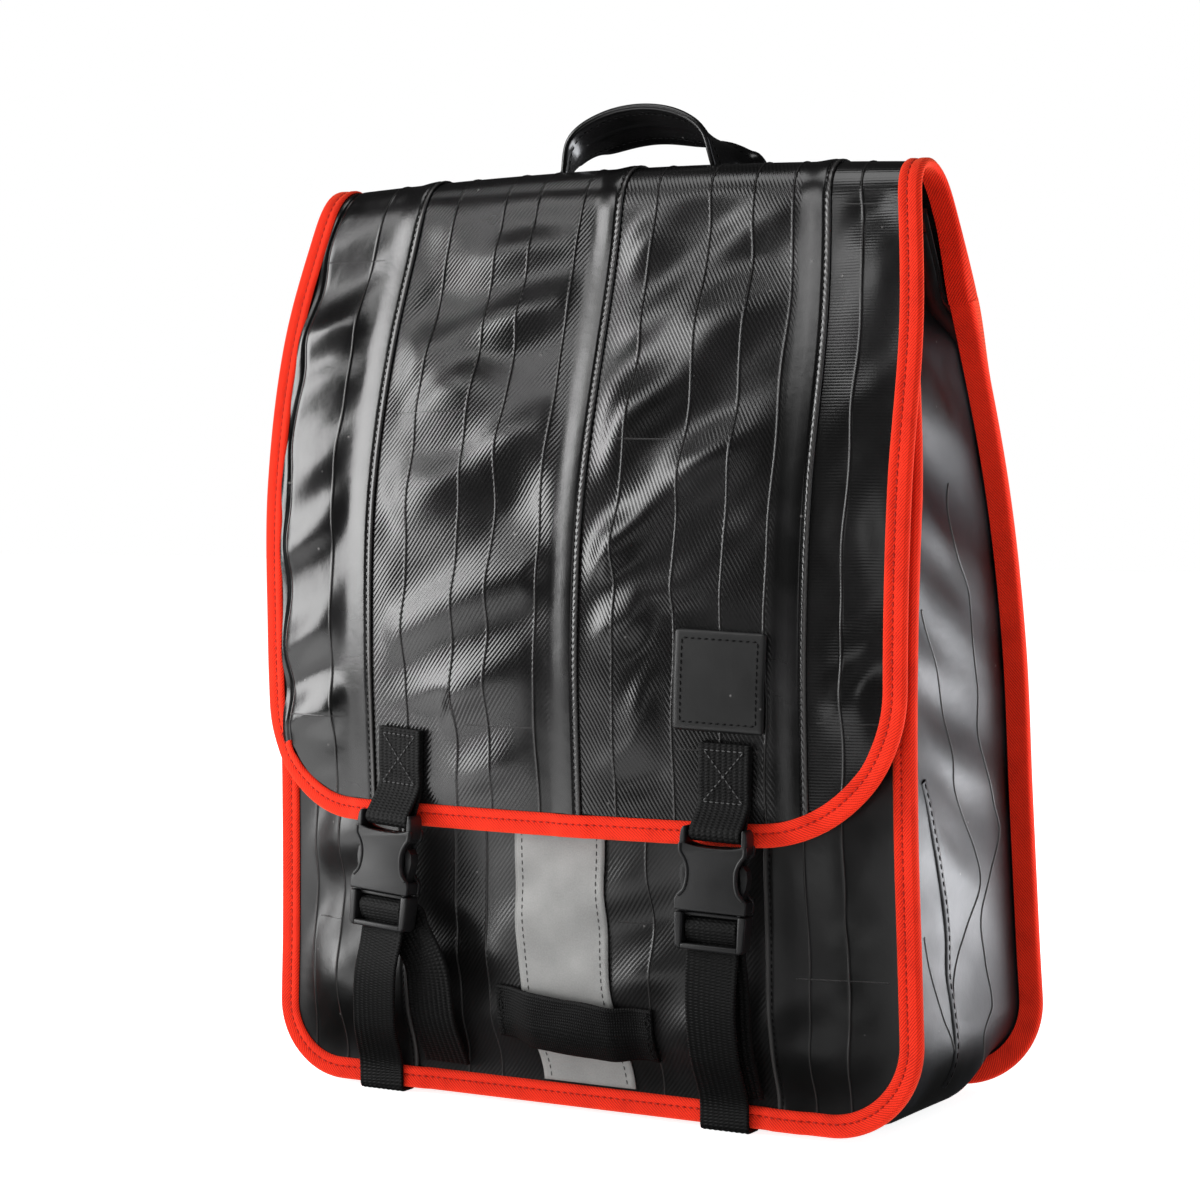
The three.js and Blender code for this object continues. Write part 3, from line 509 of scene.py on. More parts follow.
@dataclass(frozen=True)
class TubeRubber:
    """Butyl inner tube, moulded: black, half glossy, with the mould's print, a grey bloom, and pale ridges
    and lips that are a painted highlight, partly scuffing at the lips.
    """

    name: str
    grain: Grain
    pitch: float = 1
    print_depth: float = 0.035
    mottle: float = 6
    gloss_low: float = 0.2
    gloss_high: float = 0.31
    black: str = "#060606"
    bloom: str = "#121112"
    worn: str = "#2a2929"
    # The pale colour of the dust specks and of the painted highlight on crests and lips.
    edge: str = "#5f5d5c"

    def make(self) -> Finish:
        """Builds the material; the print is drawn a little coarse, so that it shows."""
        material, node = new_tree(self.name)
        uv = node("UVMap", uv_map=SURFACE_UV)
        cloud, pore, mottle = (
            node("TexNoise", {"Vector": uv, "Scale": grain_scale(size), "Detail": detail})
            for size, detail in ((45, 3), (0.9, 2), (9, 2))
        )
        speck = node("TexVoronoi", {"Vector": uv, "Scale": grain_scale(13), "Randomness": 1})
        # The paling attribute: a painted highlight on crests, lips and mould lines, partly scuffing at the
        # lips; below zero it clears the print.
        wear = node("Attribute", out="Fac", attribute_name=WEAR)
        dust = node("MapRange", {"Value": cloud, "From Min": 0.4, "From Max": 0.75})
        chalk = node("MapRange", {"Value": speck, "From Min": 0.05, "From Max": 0.02, "To Max": 0.8})
        tones = {"A": linear(self.black), "B": linear(self.bloom)}
        colour = node("Mix", {"Factor": dust, **tones}, data_type="RGBA")
        # Dust specks and the painted highlight both pale the rubber towards the edge colour.
        for share in (chalk, wear):
            colour = node("Mix", {"Factor": share, "A": colour, "B": linear(self.edge)}, data_type="RGBA")
        rough = node("MapRange", {"Value": dust, "To Min": self.gloss_low, "To Max": self.gloss_high})
        skin = node("Math", {0: mottle, 1: self.mottle, 2: pore}, operation="MULTIPLY_ADD")
        relief = (skin, 0.15, 0.15)
        if self.grain is not Grain.SMOOTH:
            across = (0, 0, math.radians(90 - self.grain.value))
            turned = node("Mapping", {"Vector": uv, "Rotation": across})
            wave = {"Scale": wave_scale(self.pitch), "Distortion": 0.5, "Detail": 1, "Detail Scale": 0.6}
            lines = node("TexWave", {"Vector": turned, **wave}, out="Fac")
            kept = node("Math", {0: wear, 1: 1}, operation="ADD", use_clamp=True)
            drawn = node("Math", {0: lines, 1: kept}, operation="MULTIPLY")
            faint = node("Math", {0: drawn, 1: 0.2}, operation="MULTIPLY")
            colour = node("Mix", {"Factor": faint, "A": colour, "B": linear(self.worn)}, data_type="RGBA")
            height = node("Math", {0: skin, 1: 0.25, 2: drawn}, operation="MULTIPLY_ADD")
            relief = (height, 0.6, self.print_depth)
        end_tree(node, {"Base Color": colour, "Roughness": rough, "IOR": 1.52}, relief)
        return Finish(material, Slot.RUBBER)


@dataclass(frozen=True)
class TwillTape:
    """Cotton twill tape, woven: saturated red-orange, matt, with fine diagonal ridges and fuzzy threads, and
    painted shade in the grooves of its weave.
    """

    name: str = "cotton_twill_tape"
    ridge_pitch: float = 0.95
    thread_pitch: float = 0.6
    # A lit red and a shaded red, which the weave mixes as painted shade in its grooves.
    light: str = "#dd2c16"
    deep: str = "#8e1006"
    fuzz: str = "#ff8452"

    def make(self) -> Finish:
        """Builds the material; the ridges are drawn a little coarse, so that they show."""
        material, node = new_tree(self.name)
        uv = node("UVMap", uv_map=SURFACE_UV)
        turned = node("Mapping", {"Vector": uv, "Rotation": (0, 0, math.radians(40))})
        wave = {"Scale": wave_scale(self.ridge_pitch), "Distortion": 1.2, "Detail": 1, "Detail Scale": 1.5}
        twill = node("TexWave", {"Vector": turned, **wave}, out="Fac")
        wave = {"Scale": wave_scale(self.thread_pitch), "Distortion": 0.8, "Detail": 1}
        thread = node("TexWave", {"Vector": uv, **wave}, out="Fac", bands_direction="Y")
        weave = node("Math", {0: thread, 1: 0.35, 2: twill}, operation="MULTIPLY_ADD")
        fade = node("TexNoise", {"Vector": uv, "Scale": grain_scale(14), "Detail": 3})
        shade = node("Math", {0: weave, 1: fade}, operation="MULTIPLY")
        # Where the weave is low the tape takes the shaded red: painted shade in its grooves, with a random
        # fade.
        level = node("MapRange", {"Value": shade, "From Min": 0, "From Max": 0.42})
        fuzz = {"Sheen Weight": 0.45, "Sheen Roughness": 0.4, "Sheen Tint": linear(self.fuzz)}
        matt = {"Roughness": 0.85, "Specular IOR Level": 0.12, **fuzz}
        end_tree(node, matt, (weave, 0.55, 0.13), (level, linear(self.deep), linear(self.light)))
        return Finish(material, Slot.TAPE)


@dataclass(frozen=True)
class Webbing:
    """Nylon webbing, woven: black, dry, with cross picks between lengthwise ribs."""

    name: str
    slot: Slot
    rib_pitch: float = 2.4
    pick_pitch: float = 1.3
    low: str = "#020202"
    high: str = "#080808"

    def make(self) -> Finish:
        """Builds the material."""
        material, node = new_tree(self.name)
        uv = node("UVMap", uv_map=SURFACE_UV)
        ribs = {"Vector": uv, "Scale": wave_scale(self.rib_pitch), "Distortion": 0}
        rib = node("TexWave", ribs, out="Fac", bands_direction="X")
        picks = {"Vector": uv, "Scale": wave_scale(self.pick_pitch), "Distortion": 1, "Detail": 1}
        pick = node("TexWave", picks, out="Fac", bands_direction="Y")
        weave = node("Math", {0: rib, 1: pick}, operation="MULTIPLY")
        fuzz = node("TexNoise", {"Vector": uv, "Scale": grain_scale(0.8), "Detail": 2})
        tone = node("Math", {0: fuzz, 1: 0.5, 2: weave}, operation="MULTIPLY_ADD")
        level = node("MapRange", {"Value": tone, "From Min": 0.15, "From Max": 1.1})
        dry = {"Roughness": 0.7, "Specular IOR Level": 0.28}
        end_tree(node, dry, (tone, 0.9, 0.3), (level, linear(self.low), linear(self.high)))
        return Finish(material, self.slot)


@dataclass(frozen=True)
class Acetal:
    """Acetal, moulded in a spark-eroded tool: black with an even fine matt grain."""

    name: str = "moulded_acetal"
    colour: str = "#0a0a0b"
    worn: str = "#131314"

    def make(self) -> Finish:
        """Builds the material."""
        material, node = new_tree(self.name)
        spot = node("TexCoord", out="Object")
        grit = node("TexNoise", {"Vector": spot, "Scale": grain_scale(0.45), "Detail": 2})
        patch = node("TexNoise", {"Vector": spot, "Scale": grain_scale(9), "Detail": 3})
        rough = node("MapRange", {"Value": patch, "To Min": 0.38, "To Max": 0.54})
        tones = (patch, linear(self.colour), linear(self.worn))
        end_tree(node, {"Roughness": rough, "IOR": 1.48}, (grit, 0.35, 0.12), tones)
        return Finish(material, Slot.PLASTIC)


@dataclass(frozen=True)
class GlassBeadFabric:
    """Retroreflective fabric, coated with glass beads: flat mid grey with a silky lift and a fine sparkle."""

    name: str = "glass_bead_fabric"
    low: str = "#70706f"
    high: str = "#8b8b89"

    def make(self) -> Finish:
        """Builds the material."""
        material, node = new_tree(self.name)
        uv = node("UVMap", uv_map=SURFACE_UV)
        beads = node("TexNoise", {"Vector": uv, "Scale": grain_scale(0.7), "Detail": 2})
        stain = node("TexNoise", {"Vector": uv, "Scale": grain_scale(22), "Detail": 4})
        tone = node("Math", {0: beads, 1: 0.5, 2: stain}, operation="MULTIPLY_ADD")
        level = node("MapRange", {"Value": tone, "From Min": 0.45, "From Max": 1.05})
        tones = (level, linear(self.low), linear(self.high))
        end_tree(node, {"Roughness": 0.55, "Metallic": 0.2}, (beads, 0.3, 0.1), tones)
        return Finish(material, Slot.REFLECTIVE)


@dataclass(frozen=True)
class SewingThread:
    """Bonded polyester thread, twisted: a soft shine on plain stitches."""

    name: str
    colour: str
    roughness: float = 0.55
    shaded: float = 0.6

    def make(self) -> Finish:
        """Builds the material."""
        material, node = new_tree(self.name)
        spot = node("TexCoord", out="Object")
        ply = node("TexNoise", {"Vector": spot, "Scale": grain_scale(0.5), "Detail": 1})
        tone = linear(self.colour)
        darker = (*(self.shaded * channel for channel in tone[:3]), 1)
        soft = {"Roughness": self.roughness, "Specular IOR Level": 0.2}
        end_tree(node, soft, (ply, 0.4, 0.1), (ply, darker, tone))
        return Finish(material, None)


@dataclass(frozen=True)
class SpacerMesh:
    """Polyester air mesh, knitted: black, dry, with a fine grid of holes."""

    name: str = "polyester_air_mesh"
    hole: float = 1.9
    low: str = "#060606"
    high: str = "#1f1f21"

    def make(self) -> Finish:
        """Builds the material on object coordinates, because a remeshed pad has no lengths of its own."""
        material, node = new_tree(self.name)
        spot = node("TexCoord", out="Object")
        cells = node("TexVoronoi", {"Vector": spot, "Scale": grain_scale(self.hole), "Randomness": 0.25})
        level = node("MapRange", {"Value": cells, "From Min": 0.1, "From Max": 0.55})
        dry = {"Roughness": 0.8, "Sheen Weight": 0.15, "Specular IOR Level": 0.3}
        end_tree(node, dry, (level, 0.8, 0.4), (level, linear(self.low), linear(self.high)))
        return Finish(material, Slot.PAD)


class Finishes:
    """Every finish of the bag, made once."""

    def __init__(self) -> None:
        """Makes the finishes."""
        plain = TubeRubber("tube_rubber", Grain.SMOOTH)
        self.rubber = plain.make()
        self.back = replace(plain, name="tube_rubber_back", grain=Grain.LEVEL).make()
        # The gusset's copy is rougher, and its lighter bloom is partly real bloom and partly a painted sheen
        # that brightens the gusset.
        self.gusset = replace(
            plain, name="tube_rubber_gusset", gloss_low=0.4, gloss_high=0.54, bloom="#1f2023",
        ).make()
        dull = replace(plain, name="tube_rubber_patch", gloss_low=0.42, gloss_high=0.52)
        self.patch = replace(dull, black="#0d0d0d", bloom="#1a1a1a").make()
        self.tape = TwillTape().make()
        self.webbing = Webbing("nylon_webbing", Slot.WEBBING).make()
        self.elastic = Webbing("woven_elastic", Slot.ELASTIC, rib_pitch=1.2, pick_pitch=1).make()
        self.plastic = Acetal().make()
        self.reflective = GlassBeadFabric().make()
        self.pad = SpacerMesh().make()
        self.black_thread = SewingThread("black_thread", "#0b0b0b", 0.7).make()
        self.red_thread = SewingThread("red_thread", "#a81a0c").make()
        self.grey_thread = SewingThread("grey_thread", "#4c4c4b").make()
        self.tab_thread = SewingThread("tab_thread", "#565656").make()

    def strip(self, strip: "Strip") -> Finish:
        """The rubber of one strip, each cut from a tube of its own."""
        plain = TubeRubber(f"tube_{strip.node}", strip.grain, strip.pitch, strip.print_depth)
        low, high = plain.gloss_low + strip.dull, plain.gloss_high + strip.dull
        return replace(plain, gloss_low=low, gloss_high=high).make()


# The bag's form


class Section(NamedTuple):
    """A level of the bag: half width, front seam, back seam, and how far the front and back panels bulge."""

    z: float
    half: float
    front: float
    back: float
    belly: float
    hump: float


class Strip(NamedTuple):
    """A strip of tube between two seams: its ribs, its print, what it laps over and its grooves."""

    node: str
    left: float
    right: float
    ribs: tuple[float, ...]
    grain: Grain
    pitch: float = 1.55
    print_depth: float = 0.1
    over: Lap = Lap.RIGHT
    grooves: tuple[float, ...] = ()
    dull: float = 0

    @property
    def lapped_right(self) -> bool:
        """Whether it lies over its right-hand neighbour."""
        return self.over is Lap.RIGHT and self.right < 152


class Fold(NamedTuple):
    """A soft fold: its middle, its rise to the right, its length, its width and its height."""

    x: float
    z: float
    rise: float
    length: float
    width: float
    height: float


class Wrinkle(NamedTuple):
    """A run of soft wrinkles: their pitch, their rise to the right, their height and their start."""

    pitch: float
    rise: float
    height: float
    start: float


class MouldLine(NamedTuple):
    """A fine raised line left across a strip by the mould: its ends and its height on the bag."""

    left: float
    right: float
    z: float


class EdgePath(NamedTuple):
    """Places along a panel's edge with the direction out of the panel, in the panel's own two parameters."""

    a: Array
    b: Array
    out_a: Array
    out_b: Array

    def mirrored(self) -> "EdgePath":
        """The same edge on a panel that is seen from behind."""
        return EdgePath(-self.a, self.b, -self.out_a, self.out_b)


SECTIONS = (
    Section(0, 152.3, -60, 63.5, 0, 0),
    Section(32, 152.3, -60, 62, 8.5, 3),
    Section(64, 151.4, -60, 59.5, 12.5, 5),
    Section(128, 150, -61.5, 54.5, 11.5, 6),
    Section(192, 150.2, -62.5, 46, 10, 6),
    Section(256, 151, -60, 26, 8, 4),
    Section(320, 150, -49, -2.5, 4, 0.6),
    Section(384, 140.5, -33, -19, 0, 0),
)
FLAP_STRIPS = (
    Strip("flap_strip_1", -152, -95.5, (-114,), Grain.SMOOTH, grooves=(-139.2,)),
    Strip("flap_strip_2", -95.5, 8.5, (-74, -48, -31, -8), Grain.RISING),
    Strip("flap_strip_3", 8.5, 108, (28.5, 55, 76, 94.5), Grain.FALLING),
    Strip("flap_strip_4", 108, 152, (126,), Grain.LEVEL, 1.2, 0.035),
)
FRONT_STRIPS = (
    Strip("front_strip_left", -152, -84, (-133, -117, -104), Grain.SMOOTH, dull=0.1),
    Strip("front_strip_middle", -84, 94, (-55, -39, 39), Grain.RISING, 1.55, 0.08, Lap.NONE, dull=0.09),
    Strip("front_strip_right", 94, 152, (107, 122.5), Grain.SMOOTH, over=Lap.LEFT, dull=0.15),
)
FLAP_FOLDS = (
    Fold(-128, 133, 0.55, 22, 9.5, 2.3), Fold(-128, 161, 0.55, 22, 9.5, 2.4),
    Fold(-126, 194, 0.55, 22, 10.5, 2.6), Fold(-127, 235, 0.5, 22, 9.5, 2.3),
    Fold(-129, 260, 0.45, 22, 9.5, 2.4), Fold(-125, 296, 0.35, 22, 10.5, 2.6),
    Fold(-126, 322, 0.2, 20, 8.5, 2.2), Fold(-36, 138, 0.65, 30, 10.5, 3.2),
    Fold(-43, 174, 0.42, 36, 11, 3.6), Fold(-42, 212, 0.35, 36, 11, 3.5),
    Fold(-62, 258, 0.5, 24, 12, 3), Fold(-25, 276, 0.45, 22, 11, 2.7),
    Fold(-60, 297, 0.45, 24, 11, 3.2), Fold(-30, 326, 0.3, 26, 9.5, 3.1),
    Fold(-40, 353, 0.1, 30, 9, 2.2), Fold(-22, 249, 0.6, 16, 11, -2.7),
    Fold(30, 288, 0.85, 26, 12, 3.2), Fold(62, 318, 0.9, 26, 12, 3),
    Fold(30, 236, 0.8, 26, 12, 3), Fold(66, 266, 0.8, 22, 11, 2.7),
    Fold(34, 204, 0.9, 22, 11, 2.4), Fold(48, 172, 1.4, 22, 10, 2.4),
    Fold(24, 352, 0.5, 20, 10, 1.9), Fold(128, 240, 0.2, 16, 22, 1.2),
    Fold(130, 170, 0.5, 18, 14, 1.6), Fold(128, 320, 0.1, 16, 20, 1.1),
)
WRINKLES = (
    Wrinkle(38, 0.55, 0.6, 0.4), Wrinkle(27, 0.3, 0.32, 2.1),
    Wrinkle(53, -0.3, 0.6, 1), Wrinkle(17, 0.8, 0.1, 4),
)
FLAP_FLATS = (Fold(-76, 138, 0, 18, 25, 0), Fold(76, 140, 0, 18, 25, 0), Fold(76, 181, 0, 24, 24, 0))
FLAP_MOULD_LINES = (
    MouldLine(-138, -108, 352), MouldLine(-138, -108, 160), MouldLine(-86, -49, 286), MouldLine(-43, -8, 160),
    MouldLine(24, 56, 274), MouldLine(56, 92, 154), MouldLine(116, 141, 166), MouldLine(116, 141, 366),
)
FRONT_FOLDS = (
    Fold(-58, 62, 0, 24, 34, -5), Fold(-112, 84, 0, 26, 20, -4),
    Fold(-118, 44, 0, 24, 16, 3), Fold(50, 86, 0, 20, 18, -3.5),
    Fold(66, 42, 0, 19, 16, 2.5), Fold(116, 78, 0, 18, 22, -3.5),
    Fold(-60, 84, -0.4, 16, 9, 1.8), Fold(-60, 62, 0.2, 20, 8, 2),
    Fold(-35, 62, 0.5, 10, 9, 1.6), Fold(-112, 104, 0.5, 16, 9, 1.6),
    Fold(-128, 66, 1.2, 18, 8, 1.4), Fold(32, 94, 0.8, 16, 9, 1.7),
    Fold(38, 60, 0.5, 18, 8, 1.8), Fold(102, 62, 1, 20, 10, 1.2),
    Fold(128, 88, 0.2, 12, 8, 1.4), Fold(128, 52, 0.2, 12, 8, 1.4),
)
FRONT_MOULD_LINES = (MouldLine(-131, -118, 72), MouldLine(24, 39, 82), MouldLine(92, 139, 65))


def bent_rows(low: Array, row: Array, level: float) -> Array:
    """Heights that follow a rounded lower edge at the first row and are the row's own from a level on."""
    return np.where(row >= level, row, low + (level - low) * row / level)


def fold_height(x: Array, z: Array, folds: Sequence[Fold]) -> Array:
    """How far a table of soft folds lifts the surface at each place.

    Args:
        x: Places across.
        z: Heights.
        folds: The table.

    Returns:
        The lift at each place.
    """
    total = np.zeros(np.broadcast(x, z).shape)
    for fold in folds:
        turn = math.atan(fold.rise)
        right, up = x - fold.x, z - fold.z
        along = right * math.cos(turn) + up * math.sin(turn)
        aside = up * math.cos(turn) - right * math.sin(turn)
        total = total + fold.height * ridge(along, fold.length) * ridge(aside, fold.width)
    return total


def wrinkle_height(x: Array, z: Array) -> Array:
    """How far the runs of wrinkles lift the surface at each place, each run bent a little on its way.

    Args:
        x: Places across.
        z: Heights.

    Returns:
        The lift at each place.
    """
    total = np.zeros(np.broadcast(x, z).shape)
    for run in WRINKLES:
        along = (z - run.rise * x) / math.hypot(1, run.rise)
        bend = 0.9 * np.sin(x / 23 + 2 * run.start) + 0.5 * np.sin(z / 41 + run.start)
        total = total + run.height * np.sin(2 * np.pi * along / run.pitch + run.start + bend)
    return total * (0.75 + 0.55 * np.sin(x / 31 + z / 67) * np.sin(z / 45 - x / 59))


@dataclass
class BagForm:
    """The surfaces of the bag, each a function of two lengths, from the driving sizes."""

    half: float = 152
    rubber: float = 1.4
    gap: float = 0.45
    slack: float = 0.65
    lap: float = 8
    ramp: float = 3
    lift: float = 1.1
    edge: float = 1.5
    binding: float = 9.4
    bottom: float = 2
    panel_top: float = 357
    back_top: float = 366
    back_binding_top: float = 329.7
    crown: float = 13
    crest: float = 4.2
    crest_front: float = 36
    crest_back: float = 14
    arch_y: float = -27.5
    arch_z: float = 368.8
    arch_radius: float = 15.2
    bend_reach: int = 15
    hem_z: float = 330
    hem_offset: float = 4.2
    flap_radii: tuple[float, float] = (45.5, 61.5)
    panel_radii: tuple[float, float] = (30.5, 38.5)
    flap_level: float = 120
    panel_level: float = 126
    rib_height: float = 0.4
    rib_reach: float = 0.3
    pressed: float = 2.2
    tuck: float = 10
    profile: tuple = ((116.6, -67.2), (150, -69), (192, -70.5), (255, -69), (319, -57))

    def __post_init__(self) -> None:
        """Reads the tables as curves and lays out the flap's profile."""
        heights, *columns = zip(*SECTIONS)
        curves = [Curve(heights, column) for column in columns]
        self.half_at, self.front_at, self.back_at, self.belly_at, self.hump_at = curves
        turn = np.radians(np.linspace(164, 14, 90))
        arch = stack(
            self.arch_y + self.arch_radius * np.cos(turn), self.arch_z + self.arch_radius * np.sin(turn),
        )
        rise = np.array([(y, z) for z, y in self.profile] + [tuple(arch[0])])
        up = Curve(np.arange(len(rise)), rise)(np.linspace(0, len(rise) - 1, 400))
        self.hem = np.array([float(self.back_at(self.hem_z)) + self.hem_offset, self.hem_z])
        down = np.linspace(arch[-1], self.hem, 40)
        plain = np.concatenate([up, arch[1:], down[1:]])
        length = run_length(plain)
        self.flap_front = length[len(up) - 1]
        self.flap_over = length[len(up) + len(arch) - 2]
        self.line = self.eased(plain, length)
        self.line_length = run_length(self.line)
        self.flap_length = self.line_length[-1]

    def eased(self, line: Array, length: Array) -> Array:
        """A line with its bends drawn out on both sides of each place, and its ends kept.

        Args:
            line: The points of the line.
            length: The length from its start at each point.

        Returns:
            Points about a millimetre apart.
        """
        even = np.linspace(0, length[-1], round(length[-1]))
        plain = along_line(even, length, line)
        reach = self.bend_reach
        start, end = 2 * plain[0] - plain[reach:0:-1], 2 * plain[-1] - plain[-2 : -reach - 2 : -1]
        longer = np.concatenate([start, plain, end])
        window = np.hanning(2 * reach + 3)[1:-1]
        return stack(*[np.convolve(column, window / window.sum(), "valid") for column in longer.T])

    def flap_line(self, s: Array) -> tuple[Array, Array]:
        """Depth and height of the flap's plain profile at a length from its lower edge."""
        return tuple(np.interp(s, self.line_length, column) for column in self.line.T)

    def flap_s(self, z: float) -> float:
        """The length from the flap's lower edge at a height on its front."""
        count = int(np.searchsorted(self.line_length, self.flap_front))
        return float(np.interp(z, self.line[:count, 1], self.line_length[:count]))

    def strip_at(self, x: Array, strips: Sequence[Strip]) -> Array:
        """Which strip lies at each place across."""
        return np.searchsorted([strip.right for strip in strips[:-1]], x)

    def flap_relief(self, x: Array, s: Array, z: Array) -> Array:
        """Folds of the flap, which fade at its seams and edges, over the arch and under what is sewn on.

        Args:
            x: Places across.
            s: Lengths from the lower edge.
            z: Heights there.

        Returns:
            The lift at each place.
        """
        index = self.strip_at(x, FLAP_STRIPS)
        left = np.array([strip.left for strip in FLAP_STRIPS])[index]
        right = np.array([strip.right for strip in FLAP_STRIPS])[index]
        outer = self.binding - 4
        margin_left = x - left - np.where(left <= -self.half, outer, self.lap / 2)
        margin_right = right - x - np.where(right >= self.half, outer, self.lap)
        soft = np.where(left <= -self.half, 5, 14)
        kept = np.minimum(smoothstep(margin_left / soft, 0, 1), smoothstep(margin_right, 0, 14))
        kept = kept * smoothstep(s, 10, 30) * (1 - smoothstep(s, self.flap_front - 16, self.flap_front + 6))
        for flat in FLAP_FLATS:
            far = np.maximum(np.abs(x - flat.x) / flat.length, np.abs(z - flat.z) / flat.width)
            kept = kept * smoothstep(far, 1, 1.6)
        return kept * (fold_height(x, z, FLAP_FOLDS) + wrinkle_height(x, z))

    def flap(self, x: Array, s: Array) -> Array:
        """The flap's outer face at a place across and a length from its lower edge.

        Args:
            x: Places across.
            s: Lengths from the lower edge.

        Returns:
            A point for each place.
        """
        x, s = np.broadcast_arrays(x, s)
        y, z = self.flap_line(s)
        ahead = stack(*self.flap_line(np.minimum(s + 1.2, self.flap_length)))
        along = unit(ahead - stack(*self.flap_line(np.maximum(s - 1.2, 0))))
        over = s - np.clip(s, 0, self.flap_length)
        crown = self.crown * (1 - (x / self.half) ** 2) * (1 - smoothstep(s, 60, self.flap_front))
        past = s - (self.flap_front + self.flap_over) / 2
        on_arch = ridge(past / np.where(past < 0, self.crest_front, self.crest_back), 1)
        crest = self.crest * (1 - (x / self.half) ** 2) * on_arch
        swell = crown + crest + self.flap_relief(x, s, z)
        deep = y + along[..., 0] * over - along[..., 1] * swell
        high = z + along[..., 1] * over + along[..., 0] * swell
        return stack(x / self.half * self.half_at(z), deep, high)

    def panel_inset(self, x: Array, z: Array) -> Array:
        """How far a place lies in from the rounded outline of the front or back panel."""
        radius = np.where(x < 0, self.panel_radii[0], self.panel_radii[1]) + self.edge
        into, under = np.abs(x) - (self.half - radius), self.bottom + radius - z
        plain = np.minimum(self.half - np.abs(x), z - self.bottom)
        return np.where((into > 0) & (under > 0), radius - np.hypot(into, under), plain)

    def pillow(self, x: Array, z: Array, reach: float) -> Array:
        """How far a panel is free to bulge: not at all in the seam, wholly at a reach from it."""
        return smoothstep(self.panel_inset(x, z), self.binding, self.binding + reach)

    def front(self, x: Array, z: Array) -> Array:
        """The front panel's outer face at a place across and a height.

        Args:
            x: Places across.
            z: Heights.

        Returns:
            A point for each place.
        """
        x, z = np.broadcast_arrays(x, z)
        u = x / self.half
        bulge = self.belly_at(z) * (1 - np.abs(u) ** 2.6) * self.pillow(x, z, 27)
        soft = fold_height(x, z, FRONT_FOLDS) + 0.8 * wrinkle_height(x, z)
        y = self.front_at(z) - bulge - soft * self.pillow(x, z, 16)
        tucked = 1 - 0.6 * self.tuck / self.half * smoothstep(z, 250, 325)
        return stack(u * self.half_at(z) * tucked, y, z)

    def back(self, a: Array, z: Array) -> Array:
        """The back panel's outer face, seen from behind, so its first number runs from right to left."""
        a, z = np.broadcast_arrays(a, z)
        u = a / self.half
        y = self.back_at(z) + self.hump_at(z) * (1 - u**2) * self.pillow(-a, z, 27)
        return stack(-u * self.half_at(z), y, z)

    def lower_edge(self, x: Array, radii: tuple[float, float], low: float) -> Array:
        """The lower end of a panel with round corners at a place across."""
        radius = np.where(x < 0, radii[0], radii[1])
        into = np.clip(np.abs(x) - (self.half - self.edge - radius), 0, None)
        return low + radius - np.sqrt(np.maximum(radius**2 - into**2, 0))

    def edge_path(self, radii: tuple[float, float], low: float, top: float, step: float) -> EdgePath:
        """Down a panel's left edge, round its lower corners and up its right edge.

        Args:
            radii: The left and right corner radius.
            low: The panel's lower edge.
            top: Where the path starts and ends.
            step: The distance from place to place.

        Returns:
            The places with their outward directions.
        """
        edge = self.half - self.edge
        runs = []
        for sign, radius in zip((-1, 1), radii):
            rise = np.linspace(low + radius, top, max(2, round((top - low - radius) / step)))
            turn = np.linspace(90, 0, max(4, round(radius * math.pi / 2 / step)) + 1)[1:]
            sine, cosine = np.sin(np.radians(turn)), np.cos(np.radians(turn))
            side = EdgePath(
                np.full_like(rise, sign * edge), rise[::-1], np.full_like(rise, sign), np.zeros_like(rise),
            )
            bend = EdgePath(
                sign * (edge - radius + radius * sine), low + radius - radius * cosine, sign * sine, -cosine,
            )
            runs.append([np.concatenate(pair) for pair in zip(side, bend)])
        span = runs[1][0][-1] - runs[0][0][-1]
        flat = np.linspace(runs[0][0][-1], runs[1][0][-1], max(2, round(span / step)) + 1)[1:-1]
        level = [flat, np.full_like(flat, low), np.zeros_like(flat), np.full_like(flat, -1)]
        return EdgePath(*[np.concatenate([a, b, c[::-1]]) for a, b, c in zip(runs[0], level, runs[1])])

    def lap_lift(self, x: Array, strips: Sequence[Strip]) -> Array:
        """How far a seam's lap lifts the tape that runs over it."""
        reach = self.lap / 2 + self.ramp
        lifts = [1 - smoothstep(np.abs(x - strip.right), reach - 1, reach + 3) for strip in strips[:-1]]
        return self.lift * np.max(lifts, axis=0) if lifts else np.zeros_like(x)


# Sewing


